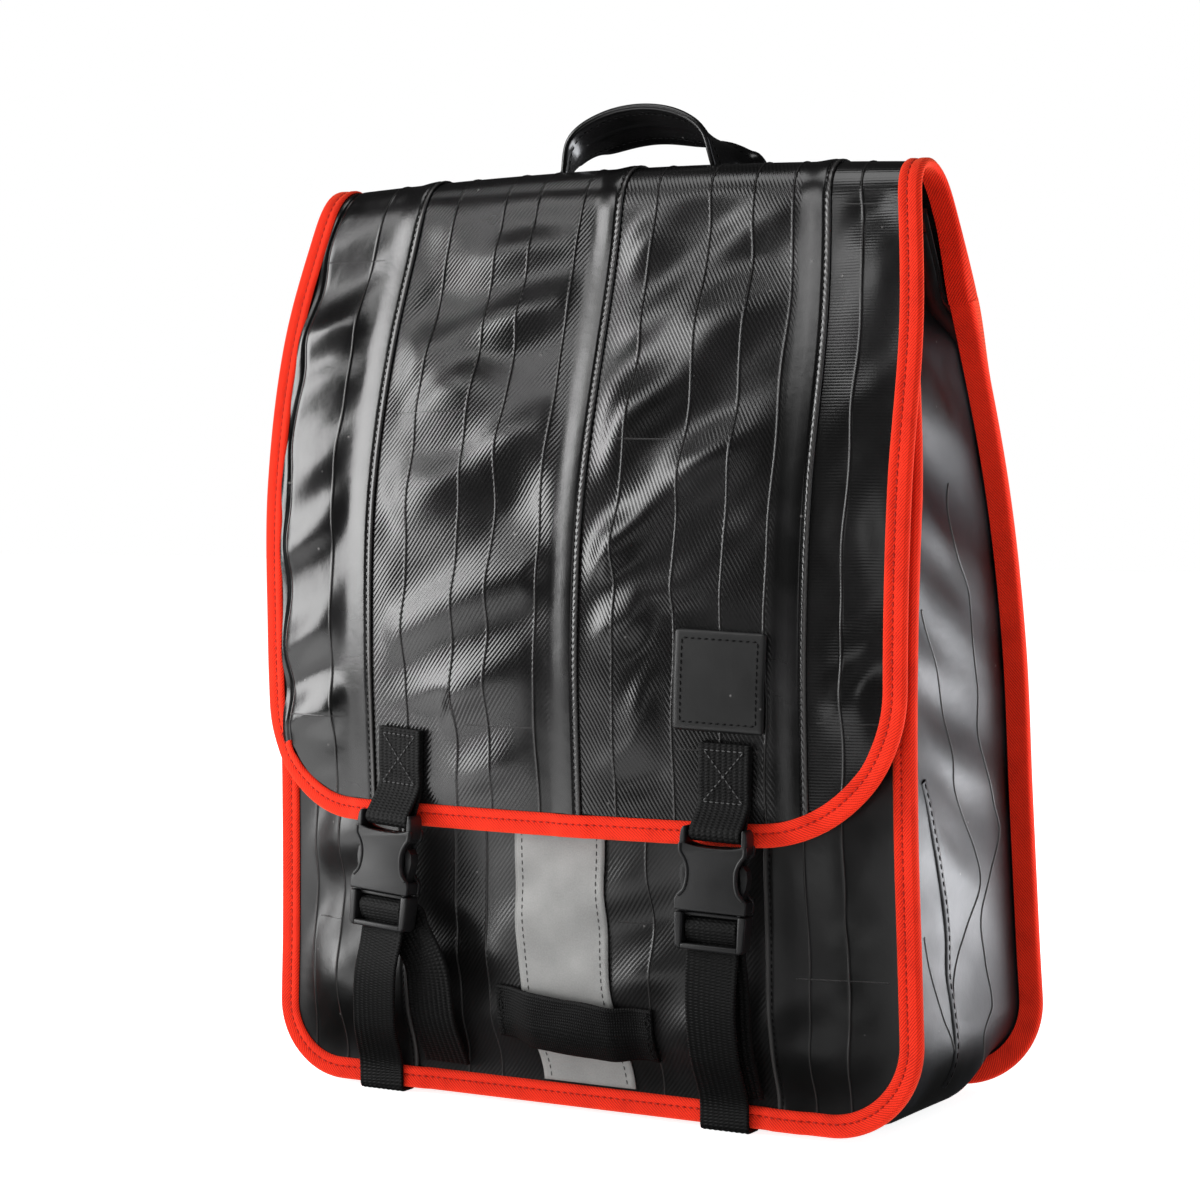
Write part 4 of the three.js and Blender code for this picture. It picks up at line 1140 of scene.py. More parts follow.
@dataclass
class Stitching:
    """Rows of stitches that are joined in one mesh."""

    length: float = 2.6
    pitch: float = 3.4
    width: float = 0.75
    height: float = 0.55
    slant: float = 0
    mesh: BMesh = field(default_factory=bmesh.new)

    def row(self, path: Array, normal: Array) -> None:
        """Sews a row.

        Args:
            path: The points of the row.
            normal: The direction out of the cloth at each point.
        """
        run = run_length(path)
        count = max(1, int(run[-1] / self.pitch))
        middle = (np.arange(count) + 0.5) * run[-1] / count
        spots, before, after, outward = (
            along_line(at, run, line)
            for at, line in ((middle, path), (middle - 0.6, path), (middle + 0.6, path), (middle, normal))
        )
        along = unit(after - before)
        aside = unit(np.cross(unit(outward), along))
        out = np.cross(along, aside)
        along, aside = along + self.slant * aside, aside - self.slant * along
        for spot, ahead, beside, up in zip(spots, along, aside, out):
            turn = stack(
                ahead * self.length / 2, beside * self.width / 2, up * self.height / 2, spot,
            ) * MM
            place = Matrix([*turn.tolist(), (0, 0, 0, 1)])
            bmesh.ops.create_icosphere(self.mesh, subdivisions=1, radius=1, matrix=place)

    def on(self, surface: Surface, a: Array, b: Array, lift: float | Array) -> None:
        """Sews a row along two parameters of a surface, a lift above it."""
        spot = frame_on(surface, a, b)
        self.row(spot.point + spot.normal * np.reshape(lift, (-1, 1)), spot.normal)

    def finish(self, name: str, thread: Finish) -> None:
        """Makes the piece of every row sewn so far."""
        add_piece(self.mesh, name, thread, sharp=180)


# Rubber panels


@dataclass
class Part:
    """What every part of the bag is made from: the bag's form and its finishes."""

    form: BagForm
    finishes: Finishes


@dataclass
class StripMaker(Part):
    """Makes the rubber strips of a panel, lapped over one another."""

    surface: Surface
    strips: Sequence[Strip]
    rows: Array
    length_at: Surface
    column_step: float = 2.2
    sway: float = 0.55
    lip: float = 0.6
    inset: float = 2.5
    slope_reach: float = 14.5

    def columns(self, strip: Strip) -> Array:
        """Places across a strip: even steps, with close ones over each rib and at a lapped edge.

        Args:
            strip: The strip.

        Returns:
            The places, from left to right.
        """
        form = self.form
        edge = form.half - form.edge
        start = -edge if strip.left <= -form.half else strip.left - form.lap / 2
        end = edge if strip.right >= form.half else strip.right + form.lap / 2
        plain = np.linspace(start, end, max(4, round((end - start) / self.column_step)) + 1)
        over_line = np.array([-4.4, -2.2, -1.4, -0.8, -0.3, 0.3, 0.8, 1.4, 2.2, 4.4])
        lines = [(rib, form.rib_reach) for rib in strip.ribs] + [(groove, 0.8) for groove in strip.grooves]
        near = [line + over_line * reach for line, reach in lines]
        keep = np.all([np.abs(plain - line) > over_line[-1] * reach for line, reach in lines], axis=0)
        close = np.array([0.05, 0.2, 0.4, 0.7, 1.1, 1.5, 1.9, 2.2, 2.5, 2.8, 3.1, 3.5, 4])
        if strip.lapped_right:
            keep, near = keep & ((plain < end - 4.4) | (plain == end)), [*near, end - close]
        if strip.over is Lap.LEFT:
            keep, near = keep & ((plain > start + 4.4) | (plain == start)), [*near, start + close]
        return np.unique(np.concatenate([plain[keep], *near]))

    def from_lip(self, strip: Strip, x: Array) -> Array:
        """The distance from a strip's lapped edge, or a long way where it has none.

        Args:
            strip: The strip.
            x: Places across.

        Returns:
            The distance at each place.
        """
        if strip.lapped_right:
            return strip.right + self.form.lap / 2 - x
        if strip.over is Lap.LEFT:
            return x - strip.left + self.form.lap / 2
        return np.full(np.shape(x), 99)

    def relief(self, strip: Strip, x: Array) -> Array:
        """Ribs, grooves and the lap of a strip, which slopes up to its stitches and dips along them.

        Args:
            strip: The strip.
            x: Places across.

        Returns:
            The lift at each place.
        """
        form = self.form
        total = np.zeros(np.shape(x))
        for rib in strip.ribs:
            total = total + form.rib_height * ridge(x - rib, form.rib_reach)
        for groove in strip.grooves:
            total = total - 0.9 * ridge(x - groove, 0.8)
        away = self.from_lip(strip, x)
        total = total + form.lift * (1 - smoothstep(away, 3.2, self.slope_reach))
        total = total - 0.28 * ridge(away - self.inset, 0.7)
        near = np.clip(away, 0, self.lip)
        return total - (self.lip - np.sqrt(np.maximum(self.lip**2 - (self.lip - near) ** 2, 0)))

    def wear(self, strip: Strip, x: Array) -> Array:
        """How far each place is paled, as a painted highlight on rib crests and on the lap's lip, where it is
        partly scuffing too, or minus one where the mould left no print beside a seam.

        Args:
            strip: The strip.
            x: Places across.

        Returns:
            The share at each place.
        """
        # Rib crests are paled as a painted highlight, and the lap's lip as a painted highlight with some
        # scuffing.
        crest = [0.2 * ridge(x - rib, 0.8 * self.form.rib_reach) for rib in strip.ribs]
        away = self.from_lip(strip, x)
        worn = np.max([*crest, 0.3 * ridge(away - 0.8, 0.7), np.zeros(np.shape(x))], axis=0)
        plain = 1 - smoothstep(away, self.slope_reach - 1.5, self.slope_reach + 1)
        return np.where(worn > 0.02, worn, -plain)

    def wander(self, strip: Strip, x: Array, s: Array) -> Array:
        """How far a rib strays sideways along the strip, which fades towards the seams.

        Args:
            strip: The strip.
            x: Places across.
            s: Lengths along.

        Returns:
            The way to the right at each place.
        """
        margin = np.minimum(x - strip.left, strip.right - x)
        start = strip.left / 17 + x / 31
        wave = np.sin(2 * np.pi * s / 85 + start) + 0.6 * np.sin(2 * np.pi * s / 52 + 2.1 * start)
        stray = self.sway * wave * smoothstep(margin, 8, 14)
        for groove in strip.grooves:
            stray = stray + 1.1 * np.sin(2 * np.pi * s / 43) * ridge(x - groove, 6)
        return stray

    def make(self) -> None:
        """Makes every strip."""
        for strip in self.strips:
            x, row = np.meshgrid(self.columns(strip), self.rows)
            s = self.length_at(x, row)
            spot = frame_on(self.surface, x + self.wander(strip, x, s), s)
            points = spot.point + spot.normal * self.relief(strip, x)[..., None]
            bm = grid_mesh(points, stack(x, s), wear=self.wear(strip, x))
            finish = self.finishes.strip(strip)
            add_piece(bm, f"rubber_{strip.node}", finish, [strip.node], wall=self.form.rubber)

    def draw_lines(self, name: str, lines: Sequence[MouldLine], length_of: Callable[[float], float]) -> None:
        """Lays the mould's fine lines across the strips.

        Args:
            name: The piece's name.
            lines: Where they lie.
            length_of: The length along the strips at a height.
        """
        bm = bmesh.new()
        for line in lines:
            x = np.linspace(line.left, line.right, round((line.right - line.left) / 1.5))
            spot = frame_on(self.surface, x, np.full_like(x, length_of(line.z)))
            # The mould lines are paled a little as a painted highlight.
            add_bead(bm, spot.point, spot.normal, 0.6, 0.13, wear=0.1)
        add_piece(bm, name, self.finishes.rubber)

    def sew(self, thread: Stitching, low: float, high: float) -> None:
        """Sews a row along each lapped edge.

        Args:
            thread: The stitches that take the rows.
            low: The length where the rows start.
            high: The length where they end.
        """
        s = np.linspace(low, high, 200)
        reach = self.form.lap / 2 - self.inset
        rows = [strip.right + reach for strip in self.strips if strip.lapped_right]
        rows += [strip.left - reach for strip in self.strips if strip.over is Lap.LEFT]
        for x in rows:
            thread.on(self.surface, np.full_like(s, x), s, self.form.lift - 0.28)


@dataclass
class Flap(Part):
    """The flap's four strips, its seams and the bare patch."""

    patch_x: float = 76
    patch_z: float = 181
    patch_size: float = 39
    patch_thick: float = 1.8
    patch_turn: float = 0.04
    patch_round: float = 2
    row_step: float = 2.2

    def length_at(self, x: Array, row: Array) -> Array:
        """The length from the lower edge at a row, which bends with the lower corners."""
        low = self.form.lower_edge(x, self.form.flap_radii, self.form.edge)
        return bent_rows(low, row, self.form.flap_level)

    def make(self) -> None:
        """Makes the strips and their seams."""
        form = self.form
        even = np.linspace(0, form.flap_length, round(form.flap_length / self.row_step))
        maker = StripMaker(form, self.finishes, form.flap, FLAP_STRIPS, even, self.length_at)
        maker.make()
        maker.draw_lines("flap_mould_lines", FLAP_MOULD_LINES, form.flap_s)
        thread = Stitching(length=2.1, pitch=2.7, slant=0.12)
        maker.sew(thread, form.binding, form.flap_length - 6)
        self.make_patch(thread)
        thread.finish("flap_stitches", self.finishes.black_thread)

    def make_patch(self, thread: Stitching) -> None:
        """Makes the bare patch and sews it round.

        Args:
            thread: The stitches that take its rows.
        """
        form = self.form
        half = self.patch_size / 2
        middle = form.flap_s(self.patch_z)

        def turned(dx: Array, ds: Array) -> tuple[Array, Array]:
            """Places on the flap that lie the given ways across and along from the patch's middle."""
            return self.patch_x + dx + self.patch_turn * ds, middle + ds - self.patch_turn * dx

        fine = np.linspace(-half, half, 33)
        places = np.stack(np.meshgrid(fine, fine))
        beyond = np.clip(np.abs(places) - half + self.patch_round, 0, None)
        corner = np.maximum(np.hypot(*beyond), 1e-6)
        pull = np.where(corner > self.patch_round, self.patch_round / corner, 1)
        dx, ds = np.sign(places) * (np.minimum(np.abs(places), half - self.patch_round) + beyond * pull)
        rim = half - np.maximum(np.abs(dx), np.abs(ds))
        spot = frame_on(form.flap, *turned(dx, ds))
        top = form.slack + self.patch_thick - 0.5 * (1 - smoothstep(rim, 0, 0.8))
        bm = grid_mesh(spot.point + spot.normal * top[..., None], stack(dx + half, ds + half))
        add_piece(bm, "rubber_patch", self.finishes.patch, ["patch"], wall=self.patch_thick - 0.1)
        sewn = half - 3.4
        ring = [(-sewn, -sewn), (sewn, -sewn), (sewn, sewn), (-sewn, sewn), (-sewn, -sewn)]
        for (x0, s0), (x1, s1) in zip(ring, ring[1:]):
            dx, ds = np.linspace(x0, x1, 20), np.linspace(s0, s1, 20)
            thread.on(form.flap, *turned(dx, ds), form.slack + self.patch_thick + 0.1)


@dataclass
class FrontPanel(Part):
    """The front panel's strips, the reflective strip and the light loop."""

    reflective_x: float = -2
    reflective_drift: float = 7
    reflective_half: float = 21.5
    reflective_low: float = 12.6
    reflective_high: float = 136
    reflective_thick: float = 0.8
    loop_x: float = 3
    loop_z: float = 39.5
    loop_width: float = 74
    loop_height: float = 21
    loop_thick: float = 1.4
    loop_stand: float = 3
    loop_slope: float = -0.06

    def length_at(self, x: Array, row: Array) -> Array:
        """The height at a row, which bends with the lower corners."""
        low = self.form.lower_edge(x, self.form.panel_radii, self.form.bottom + self.form.edge)
        return bent_rows(low, row, self.form.panel_level)

    def make(self) -> None:
        """Makes the strips and what is sewn on them."""
        form = self.form
        shown = np.linspace(0, form.panel_level, 60)
        hidden = np.linspace(form.panel_level, form.panel_top, 30)[1:]
        rows = np.concatenate([shown, hidden])
        maker = StripMaker(form, self.finishes, form.front, FRONT_STRIPS, rows, self.length_at)
        maker.make()
        maker.draw_lines("front_mould_lines", FRONT_MOULD_LINES, lambda z: z)
        thread = Stitching(length=2.1, pitch=2.7, slant=0.12)
        maker.sew(thread, form.bottom + form.binding + 1, form.panel_top - 6)
        thread.finish("front_stitches", self.finishes.black_thread)
        self.make_reflective()
        self.make_loop()

    def reflective_middle(self, z: Array) -> Array:
        """The middle of the reflective strip, which drifts to the right on its way down."""
        return self.reflective_x + self.reflective_drift * (1 - smoothstep(z, -5, 85))

    def make_reflective(self) -> None:
        """Makes the reflective strip with its two rows of stitches."""
        form = self.form
        x, z = np.meshgrid(
            np.linspace(-self.reflective_half, self.reflective_half, 25),
            np.linspace(self.reflective_low, self.reflective_high, 70),
        )
        spot = frame_on(form.front, x + self.reflective_middle(z), z)
        puff = 0.25 * (1 - (x / self.reflective_half) ** 2)
        top = form.gap + self.reflective_thick + puff
        bm = grid_mesh(spot.point + spot.normal * top[..., None], stack(x, z))
        finish = self.finishes.reflective
        add_piece(bm, "reflective_fabric", finish, ["reflective_strip"], wall=self.reflective_thick)
        thread = Stitching(length=2.2, pitch=3, width=0.6, height=0.4)
        height = np.linspace(self.reflective_low + 1, self.reflective_high - 1, 80)
        lift = form.gap + self.reflective_thick + 0.15
        for x in (3.6 - self.reflective_half, self.reflective_half - 3.6):
            thread.on(form.front, x + self.reflective_middle(height), height, lift)
        thread.finish("reflective_stitches", self.finishes.grey_thread)

    def make_loop(self) -> None:
        """Makes the elastic light loop, which stands off the strip between its sewn ends."""
        form = self.form
        dx, dz = np.meshgrid(
            np.linspace(-self.loop_width / 2, self.loop_width / 2, 60),
            np.linspace(-self.loop_height / 2, self.loop_height / 2, 24),
        )
        x, z = self.loop_x + dx, self.loop_z + dz + self.loop_slope * dx
        spot = frame_on(form.front, x, z)
        near = np.abs(dx) / (self.loop_width / 2)
        rise = (self.reflective_thick + form.gap + self.loop_stand) * (1 - smoothstep(near, 0.45, 0.85))
        fray = 0.35 * np.sin(dz * 2.9) * smoothstep(near, 0.985, 1)
        top = 2 * form.gap + rise + self.loop_thick
        points = spot.point + spot.normal * top[..., None] + X_AXIS * (fray * np.sign(dx))[..., None]
        bm = grid_mesh(points, stack(dz, dx) + self.loop_width)
        add_piece(bm, "elastic_loop", self.finishes.elastic, ["light_loop"], wall=self.loop_thick)
        thread = Stitching(length=2.4, pitch=2.3, width=0.55, height=0.45)
        zigzag = np.linspace(-self.loop_height / 2 + 0.8, self.loop_height / 2 - 0.8, 19)
        for sign in (-1, 1):
            aside = sign * (self.loop_width / 2 - 2.2 + np.where(np.arange(19) % 2, 0.9, -0.9))
            thread.on(
                form.front, self.loop_x + aside, self.loop_z + zigzag + self.loop_slope * aside,
                2 * form.gap + self.loop_thick + 0.15,
            )
        thread.finish("loop_stitches", self.finishes.black_thread)


class GussetFold(NamedTuple):
    """A fold across the gusset: its height, its reach along, its depth inward and its slope to the back."""

    z: float
    reach: float
    depth: float
    slope: float


GUSSET_FOLDS = (
    GussetFold(70, 22, 1.8, -0.45),
    GussetFold(118, 26, -1.4, -0.6),
    GussetFold(165, 22, 3.2, -0.4),
    GussetFold(206, 20, -1.8, -0.7),
    GussetFold(262, 28, 3.4, -0.35),
)
# Each line is the height and the depth of the places that it goes through.
GUSSET_RIBS = (
    ((208, -30), (171, -4), (152, 2), (136, 5), (122, 13), (109, 21),
     (95, 25), (76, 14), (56, 5), (40, 2)),
    ((258, 1), (234, 0), (214, 14), (193, 18), (172, 26), (152, 29),
     (126, 40), (113, 45), (97, 35), (82, 27), (60, 33), (42, 37),
     (27, 28), (15, 33)),
    ((78, -26), (58, -17), (37, -6), (23, 0)),
)
GUSSET_SEAM = (
    (140, -28), (116, -18), (95, -9), (77, -3), (57, 0), (38, 1),
    (20, 0), (12, -2),
)


@dataclass
class Gusset(Part):
    """The band that runs down one side, under the bottom and up the other side."""

    flange: float = 10.4
    bow: float = 3
    wrinkle: float = 0.7
    depth: float = 115
    fold_reach: float = 90
    step: float = 3

    def flange_points(self, surface: Surface, path: EdgePath, inset: float | Array) -> Array:
        """Places behind a panel's edge, a given way in from it."""
        form = self.form
        spot = frame_on(surface, path.a, path.b)
        out = unit(spot.across * path.out_a[:, None] + spot.along * path.out_b[:, None])
        return spot.point - out * np.reshape(inset, (-1, 1)) - spot.normal * form.pressed

    def tucked(self, path: EdgePath) -> Array:
        """How far the rear flange is drawn in under the flap's hem."""
        return self.form.tuck * smoothstep(path.b, 312, 330)

    def surface(self, path: EdgePath, t: Array) -> Array:
        """The gusset's outer face.

        Args:
            path: Places along the front panel's edge.
            t: Shares of the way from the front bend to the back bend.

        Returns:
            Places, path by shares.
        """
        form = self.form
        inset = self.flange - form.edge
        start = self.flange_points(form.front, path, inset)[:, None]
        end = self.flange_points(form.back, path.mirrored(), inset + self.tucked(path))[:, None]
        point = start + (end - start) * t[:, None]
        out_a, out_b, b = path.out_a[:, None], path.out_b[:, None], path.b[:, None]
        drop = np.where(out_b <= -0.9999, point[..., 2], self.flange + form.bottom)
        low = out_b**2 * drop * smoothstep(t, 0, 0.29) * (1 - smoothstep(t, 0.71, 1))
        fold = np.zeros_like(low)
        for row in GUSSET_FOLDS:
            away = np.abs(b - row.z - row.slope * (t - 0.5) * self.fold_reach)
            fold = fold + row.depth * (1 - smoothstep(away, 0, row.reach))
        ripple = 0.9 * np.sin(b / 11 + 5 * t) * smoothstep(b, 20, 60)
        ripple = ripple + self.wrinkle * wrinkle_height(self.depth * (0.5 - t), b)
        move = low - (fold + ripple + self.bow) * (1 - out_b**2) * np.sin(np.pi * t)
        return point + stack(out_a * move, np.zeros_like(move), out_b * move)

    def make(self) -> None:
        """Makes the band, and its ribs and lap seam on both sides."""
        form = self.form
        path = form.edge_path(form.panel_radii, form.bottom + form.edge, form.panel_top, self.step)
        t = np.linspace(0, 1, 46)
        middle = self.surface(path, t)
        front = self.flange_points(form.front, path, form.edge)[:, None]
        back = self.flange_points(form.back, path.mirrored(), form.edge + self.tucked(path))[:, None]
        points = np.concatenate([front, middle, back], axis=1)
        width = np.concatenate([[0], np.linspace(10, 130, 46), [140]])
        around = run_length(self.flange_points(form.front, path, form.edge))
        bm = grid_mesh(points, stack(*np.meshgrid(width, around)))
        add_piece(bm, "rubber_gusset", self.finishes.gusset, ["gusset"], wall=form.rubber)
        ribs = bmesh.new()
        for side in Side:
            for table in GUSSET_RIBS:
                # The ribs are paled as a painted highlight.
                add_bead(ribs, *self.line_on(path, side, table), 1.1, 0.45, wear=0.4)
            add_bead(ribs, *self.line_on(path, side, GUSSET_SEAM), 5, 0.9)
        add_piece(ribs, "gusset_ribs", self.finishes.gusset)
        thread = Stitching(length=3, pitch=4)
        for side in Side:
            line, normal = self.line_on(path, side, GUSSET_SEAM)
            thread.row(line + normal * 0.95, normal)
        thread.finish("gusset_stitches", self.finishes.black_thread)

    def line_on(self, path: EdgePath, side: Side, table: Sequence[tuple]) -> tuple[Array, Array]:
        """A line on one side of the gusset.

        Args:
            path: Places along the front panel's edge.
            side: Which side it is on.
            table: The places that it goes through.

        Returns:
            The line's points and the outward direction at each.
        """
        z, y = zip(*sorted(table))
        heights = np.linspace(z[0], z[-1], round((z[-1] - z[0]) / 1.5))
        depths = Curve(z, y)(heights)
        on_side = path.a * side.value > 0
        order = np.argsort(path.b[on_side])
        grid = self.surface(path, np.linspace(0, 1, 61))[on_side][order]
        level = np.interp(heights, path.b[on_side][order], np.arange(len(order)))
        low = np.clip(level.astype(int), 0, len(order) - 2)
        points = []
        for k, depth in enumerate(depths):
            row = grid[low[k]] + (grid[low[k] + 1] - grid[low[k]]) * (level[k] - low[k])
            points.append(along_line(depth, row[:, 1], row))
        line = np.array(points)
        return line, np.tile(X_AXIS * side.value, (len(line), 1))


@dataclass
class BackPanel(Part):
    """The plain back panel."""

    step: float = 5

    def make(self) -> None:
        """Makes the panel."""
        form = self.form
        edge = form.half - form.edge
        a, row = np.meshgrid(
            np.linspace(-edge, edge, round(2 * edge / self.step)),
            np.linspace(0, form.back_top, round(form.back_top / self.step)),
        )
        low = form.lower_edge(-a, form.panel_radii, form.bottom + form.edge)
        z = bent_rows(low, row, form.panel_level)
        drawn_in = 1 - form.tuck / form.half * smoothstep(z, 318, 332)
        bm = grid_mesh(form.back(a * drawn_in, z), stack(a, z))
        add_piece(bm, "rubber_back", self.finishes.back, ["back_panel"], wall=form.rubber)


@dataclass
class Bindings(Part):
    """The red tape folded over the flap's edge and over the two seams of the body."""

    tape: float = 0.75
    snug: float = 0.25
    stitch_inset: float = 5.6
    puff: float = 0.5
    hem_reach: float = 34
    step: float = 2.4

    def section(self, layers: int) -> Array:
        """The tape's closed section, pulled in at the stitches and puffed up on both sides of them.

        Args:
            layers: How many layers of rubber it holds.

        Returns:
            Places out of the panel and outward, the last on the first.
        """
        form = self.form
        inside, outside = form.edge - form.binding, form.edge
        under = -(form.pressed * layers / 2 + self.snug)
        top, low = self.snug + self.tape, under - self.tape
        radius = (top - low) / 2
        seam = outside - self.stitch_inset
        o = np.linspace(inside, outside - 1.2, 16)
        swell = np.where(
            o < seam, np.sin(np.pi * (o - inside) / (seam - inside)) * 0.55,
            np.sin(np.pi * np.clip((o - seam) / (outside + 1 - seam), 0, 1)),
        )
        lip = 0.6 * (1 - smoothstep(o, inside, inside + 0.9))
        rise = self.puff * np.abs(swell) - 0.25 * ridge(o - seam, 0.7) - lip
        turn = np.radians(np.linspace(78, -90, 9))
        middle = (top + low) / 2
        over = stack(o, top + rise)
        fold = stack(outside - 1.2 + 1.3 * np.cos(turn), middle + radius * np.sin(turn))
        back = stack(np.linspace(outside - 2.4, inside, 6), np.full(6, low))
        cavity = np.array([
            (inside, under), (self.snug, under), (self.snug, self.snug), (inside, self.snug), tuple(over[0]),
        ])
        return np.concatenate([over, fold, back, cavity])

    def make_tape(
        self, name: str, node: str, surface: Surface, path: EdgePath, layers: int, strips: Sequence[Strip],
        thread: Stitching, outer: Array | float = 0, inner: Array | float = 0,
    ) -> None:
        """Makes one length of tape and sews it.

        Args:
            name: The piece's name.
            node: The solid that it stands for.
            surface: The panel that it binds.
            path: The panel's edge.
            layers: How many layers it holds.
            strips: The panel's strips, whose laps lift it.
            thread: The stitches that take its row.
            outer: How much further its outer face stands off at each place.
            inner: How much further its inner face does.
        """
        spot = frame_on(surface, path.a, path.b)
        out = unit(spot.across * path.out_a[:, None] + spot.along * path.out_b[:, None])
        lift = self.form.lap_lift(path.a, strips) * np.where(path.out_b < -0.02, 1, 0) + outer
        section = self.section(layers)
        depth = section[:, 1] + lift[:, None] * np.where(section[:, 1] > 0, 1, 0)
        depth = depth - np.reshape(inner, (-1, 1)) * smoothstep(-section[:, 1], 0, 2.5)
        aside = spot.point[:, None] + out[:, None] * section[:, :1]
        points = aside + spot.normal[:, None] * depth[..., None]
        uv = np.stack(np.meshgrid(run_length(section), run_length(spot.point)), axis=-1)
        add_piece(grid_mesh(points, uv, closed=True), name, self.finishes.tape, [node], sharp=80)
        seam = self.form.edge - self.stitch_inset
        sewn = self.snug + self.tape - 0.05 + lift
        thread.row(spot.point + out * seam + spot.normal * sewn[:, None], spot.normal)

    def make(self) -> None:
        """Makes the three lengths of tape."""
        form = self.form
        thread = Stitching(length=2.5, pitch=3.1, width=0.8, height=0.5)
        flap = form.edge_path(form.flap_radii, form.edge, form.flap_length, self.step)
        end = form.flap_length
        hem = 6 * smoothstep(flap.b, end - self.hem_reach, end)
        self.make_tape("tape_flap", "flap_binding", form.flap, flap, 1, FLAP_STRIPS, thread, inner=hem)
        low = form.bottom + form.edge
        front = form.edge_path(form.panel_radii, low, form.panel_top, self.step)
        self.make_tape("tape_front", "front_binding", form.front, front, 2, FRONT_STRIPS, thread)
        back = form.edge_path(form.panel_radii, low, form.back_binding_top, self.step).mirrored()
        top = form.back_binding_top
        rise = form.hem_offset * smoothstep(back.b, top - self.hem_reach, top)
        self.make_tape("tape_back", "back_binding", form.back, back, 2, (), thread, outer=rise)
        thread.finish("tape_stitches", self.finishes.red_thread)


# Fastening


class Closure(NamedTuple):
    """One of the two closures: its bar's height, its straps' ends, its lean, and its strap's turn and sag."""

    side: Side
    height: float
    anchor_x: float
    tail_x: float
    roll: float
    tilt: float
    tail_turn: float
    sag: float


CLOSURES = (
    Closure(Side.LEFT, 119.6, -64, -97, 0.06, 0.06, 7, 12),
    Closure(Side.RIGHT, 122.2, 74, 68, 0.04, 0.02, 0, 2),
)
SOCKET_HALF = (
    (0, -5.6), (7, -5.3), (11.2, -4.5), (13.9, -3.6), (14.6, -5.4), (14.4, -7.8), (12.5, -10),
    (11.2, -12.6), (10.9, -16), (11.1, -19.4), (12.1, -22.2), (14, -24.2), (15.2, -26.2), (15, -30.6),
)
SOCKET_RIM = (
    (13.6, -4.5), (13.5, -7.4), (11.8, -10), (10.5, -12.8), (10.1, -16), (10.4, -19.4), (11.4, -22.5),
    (13.5, -24.8),
)
SOCKET_POST = ((11.8, -7.6), (14.1, -7.6), (14.2, -2), (13.8, 0.8), (12.9, 2.3), (11.8, 2.3))
PLUG_ARM = (
    (10.3, -11.2), (12, -11.6), (13.9, -13.6), (14.4, -16.8), (13.9, -20), (12.8, -23), (12.2, -31.2),
    (10.7, -31.2), (10.9, -22.4), (11.4, -17.2), (10.9, -13.6),
)
PLUG_RAIL = ((11.6, -31.2), (15.1, -31.2), (15.2, -34.2), (14.5, -44.4), (13.3, -45.8), (11.6, -45.8))


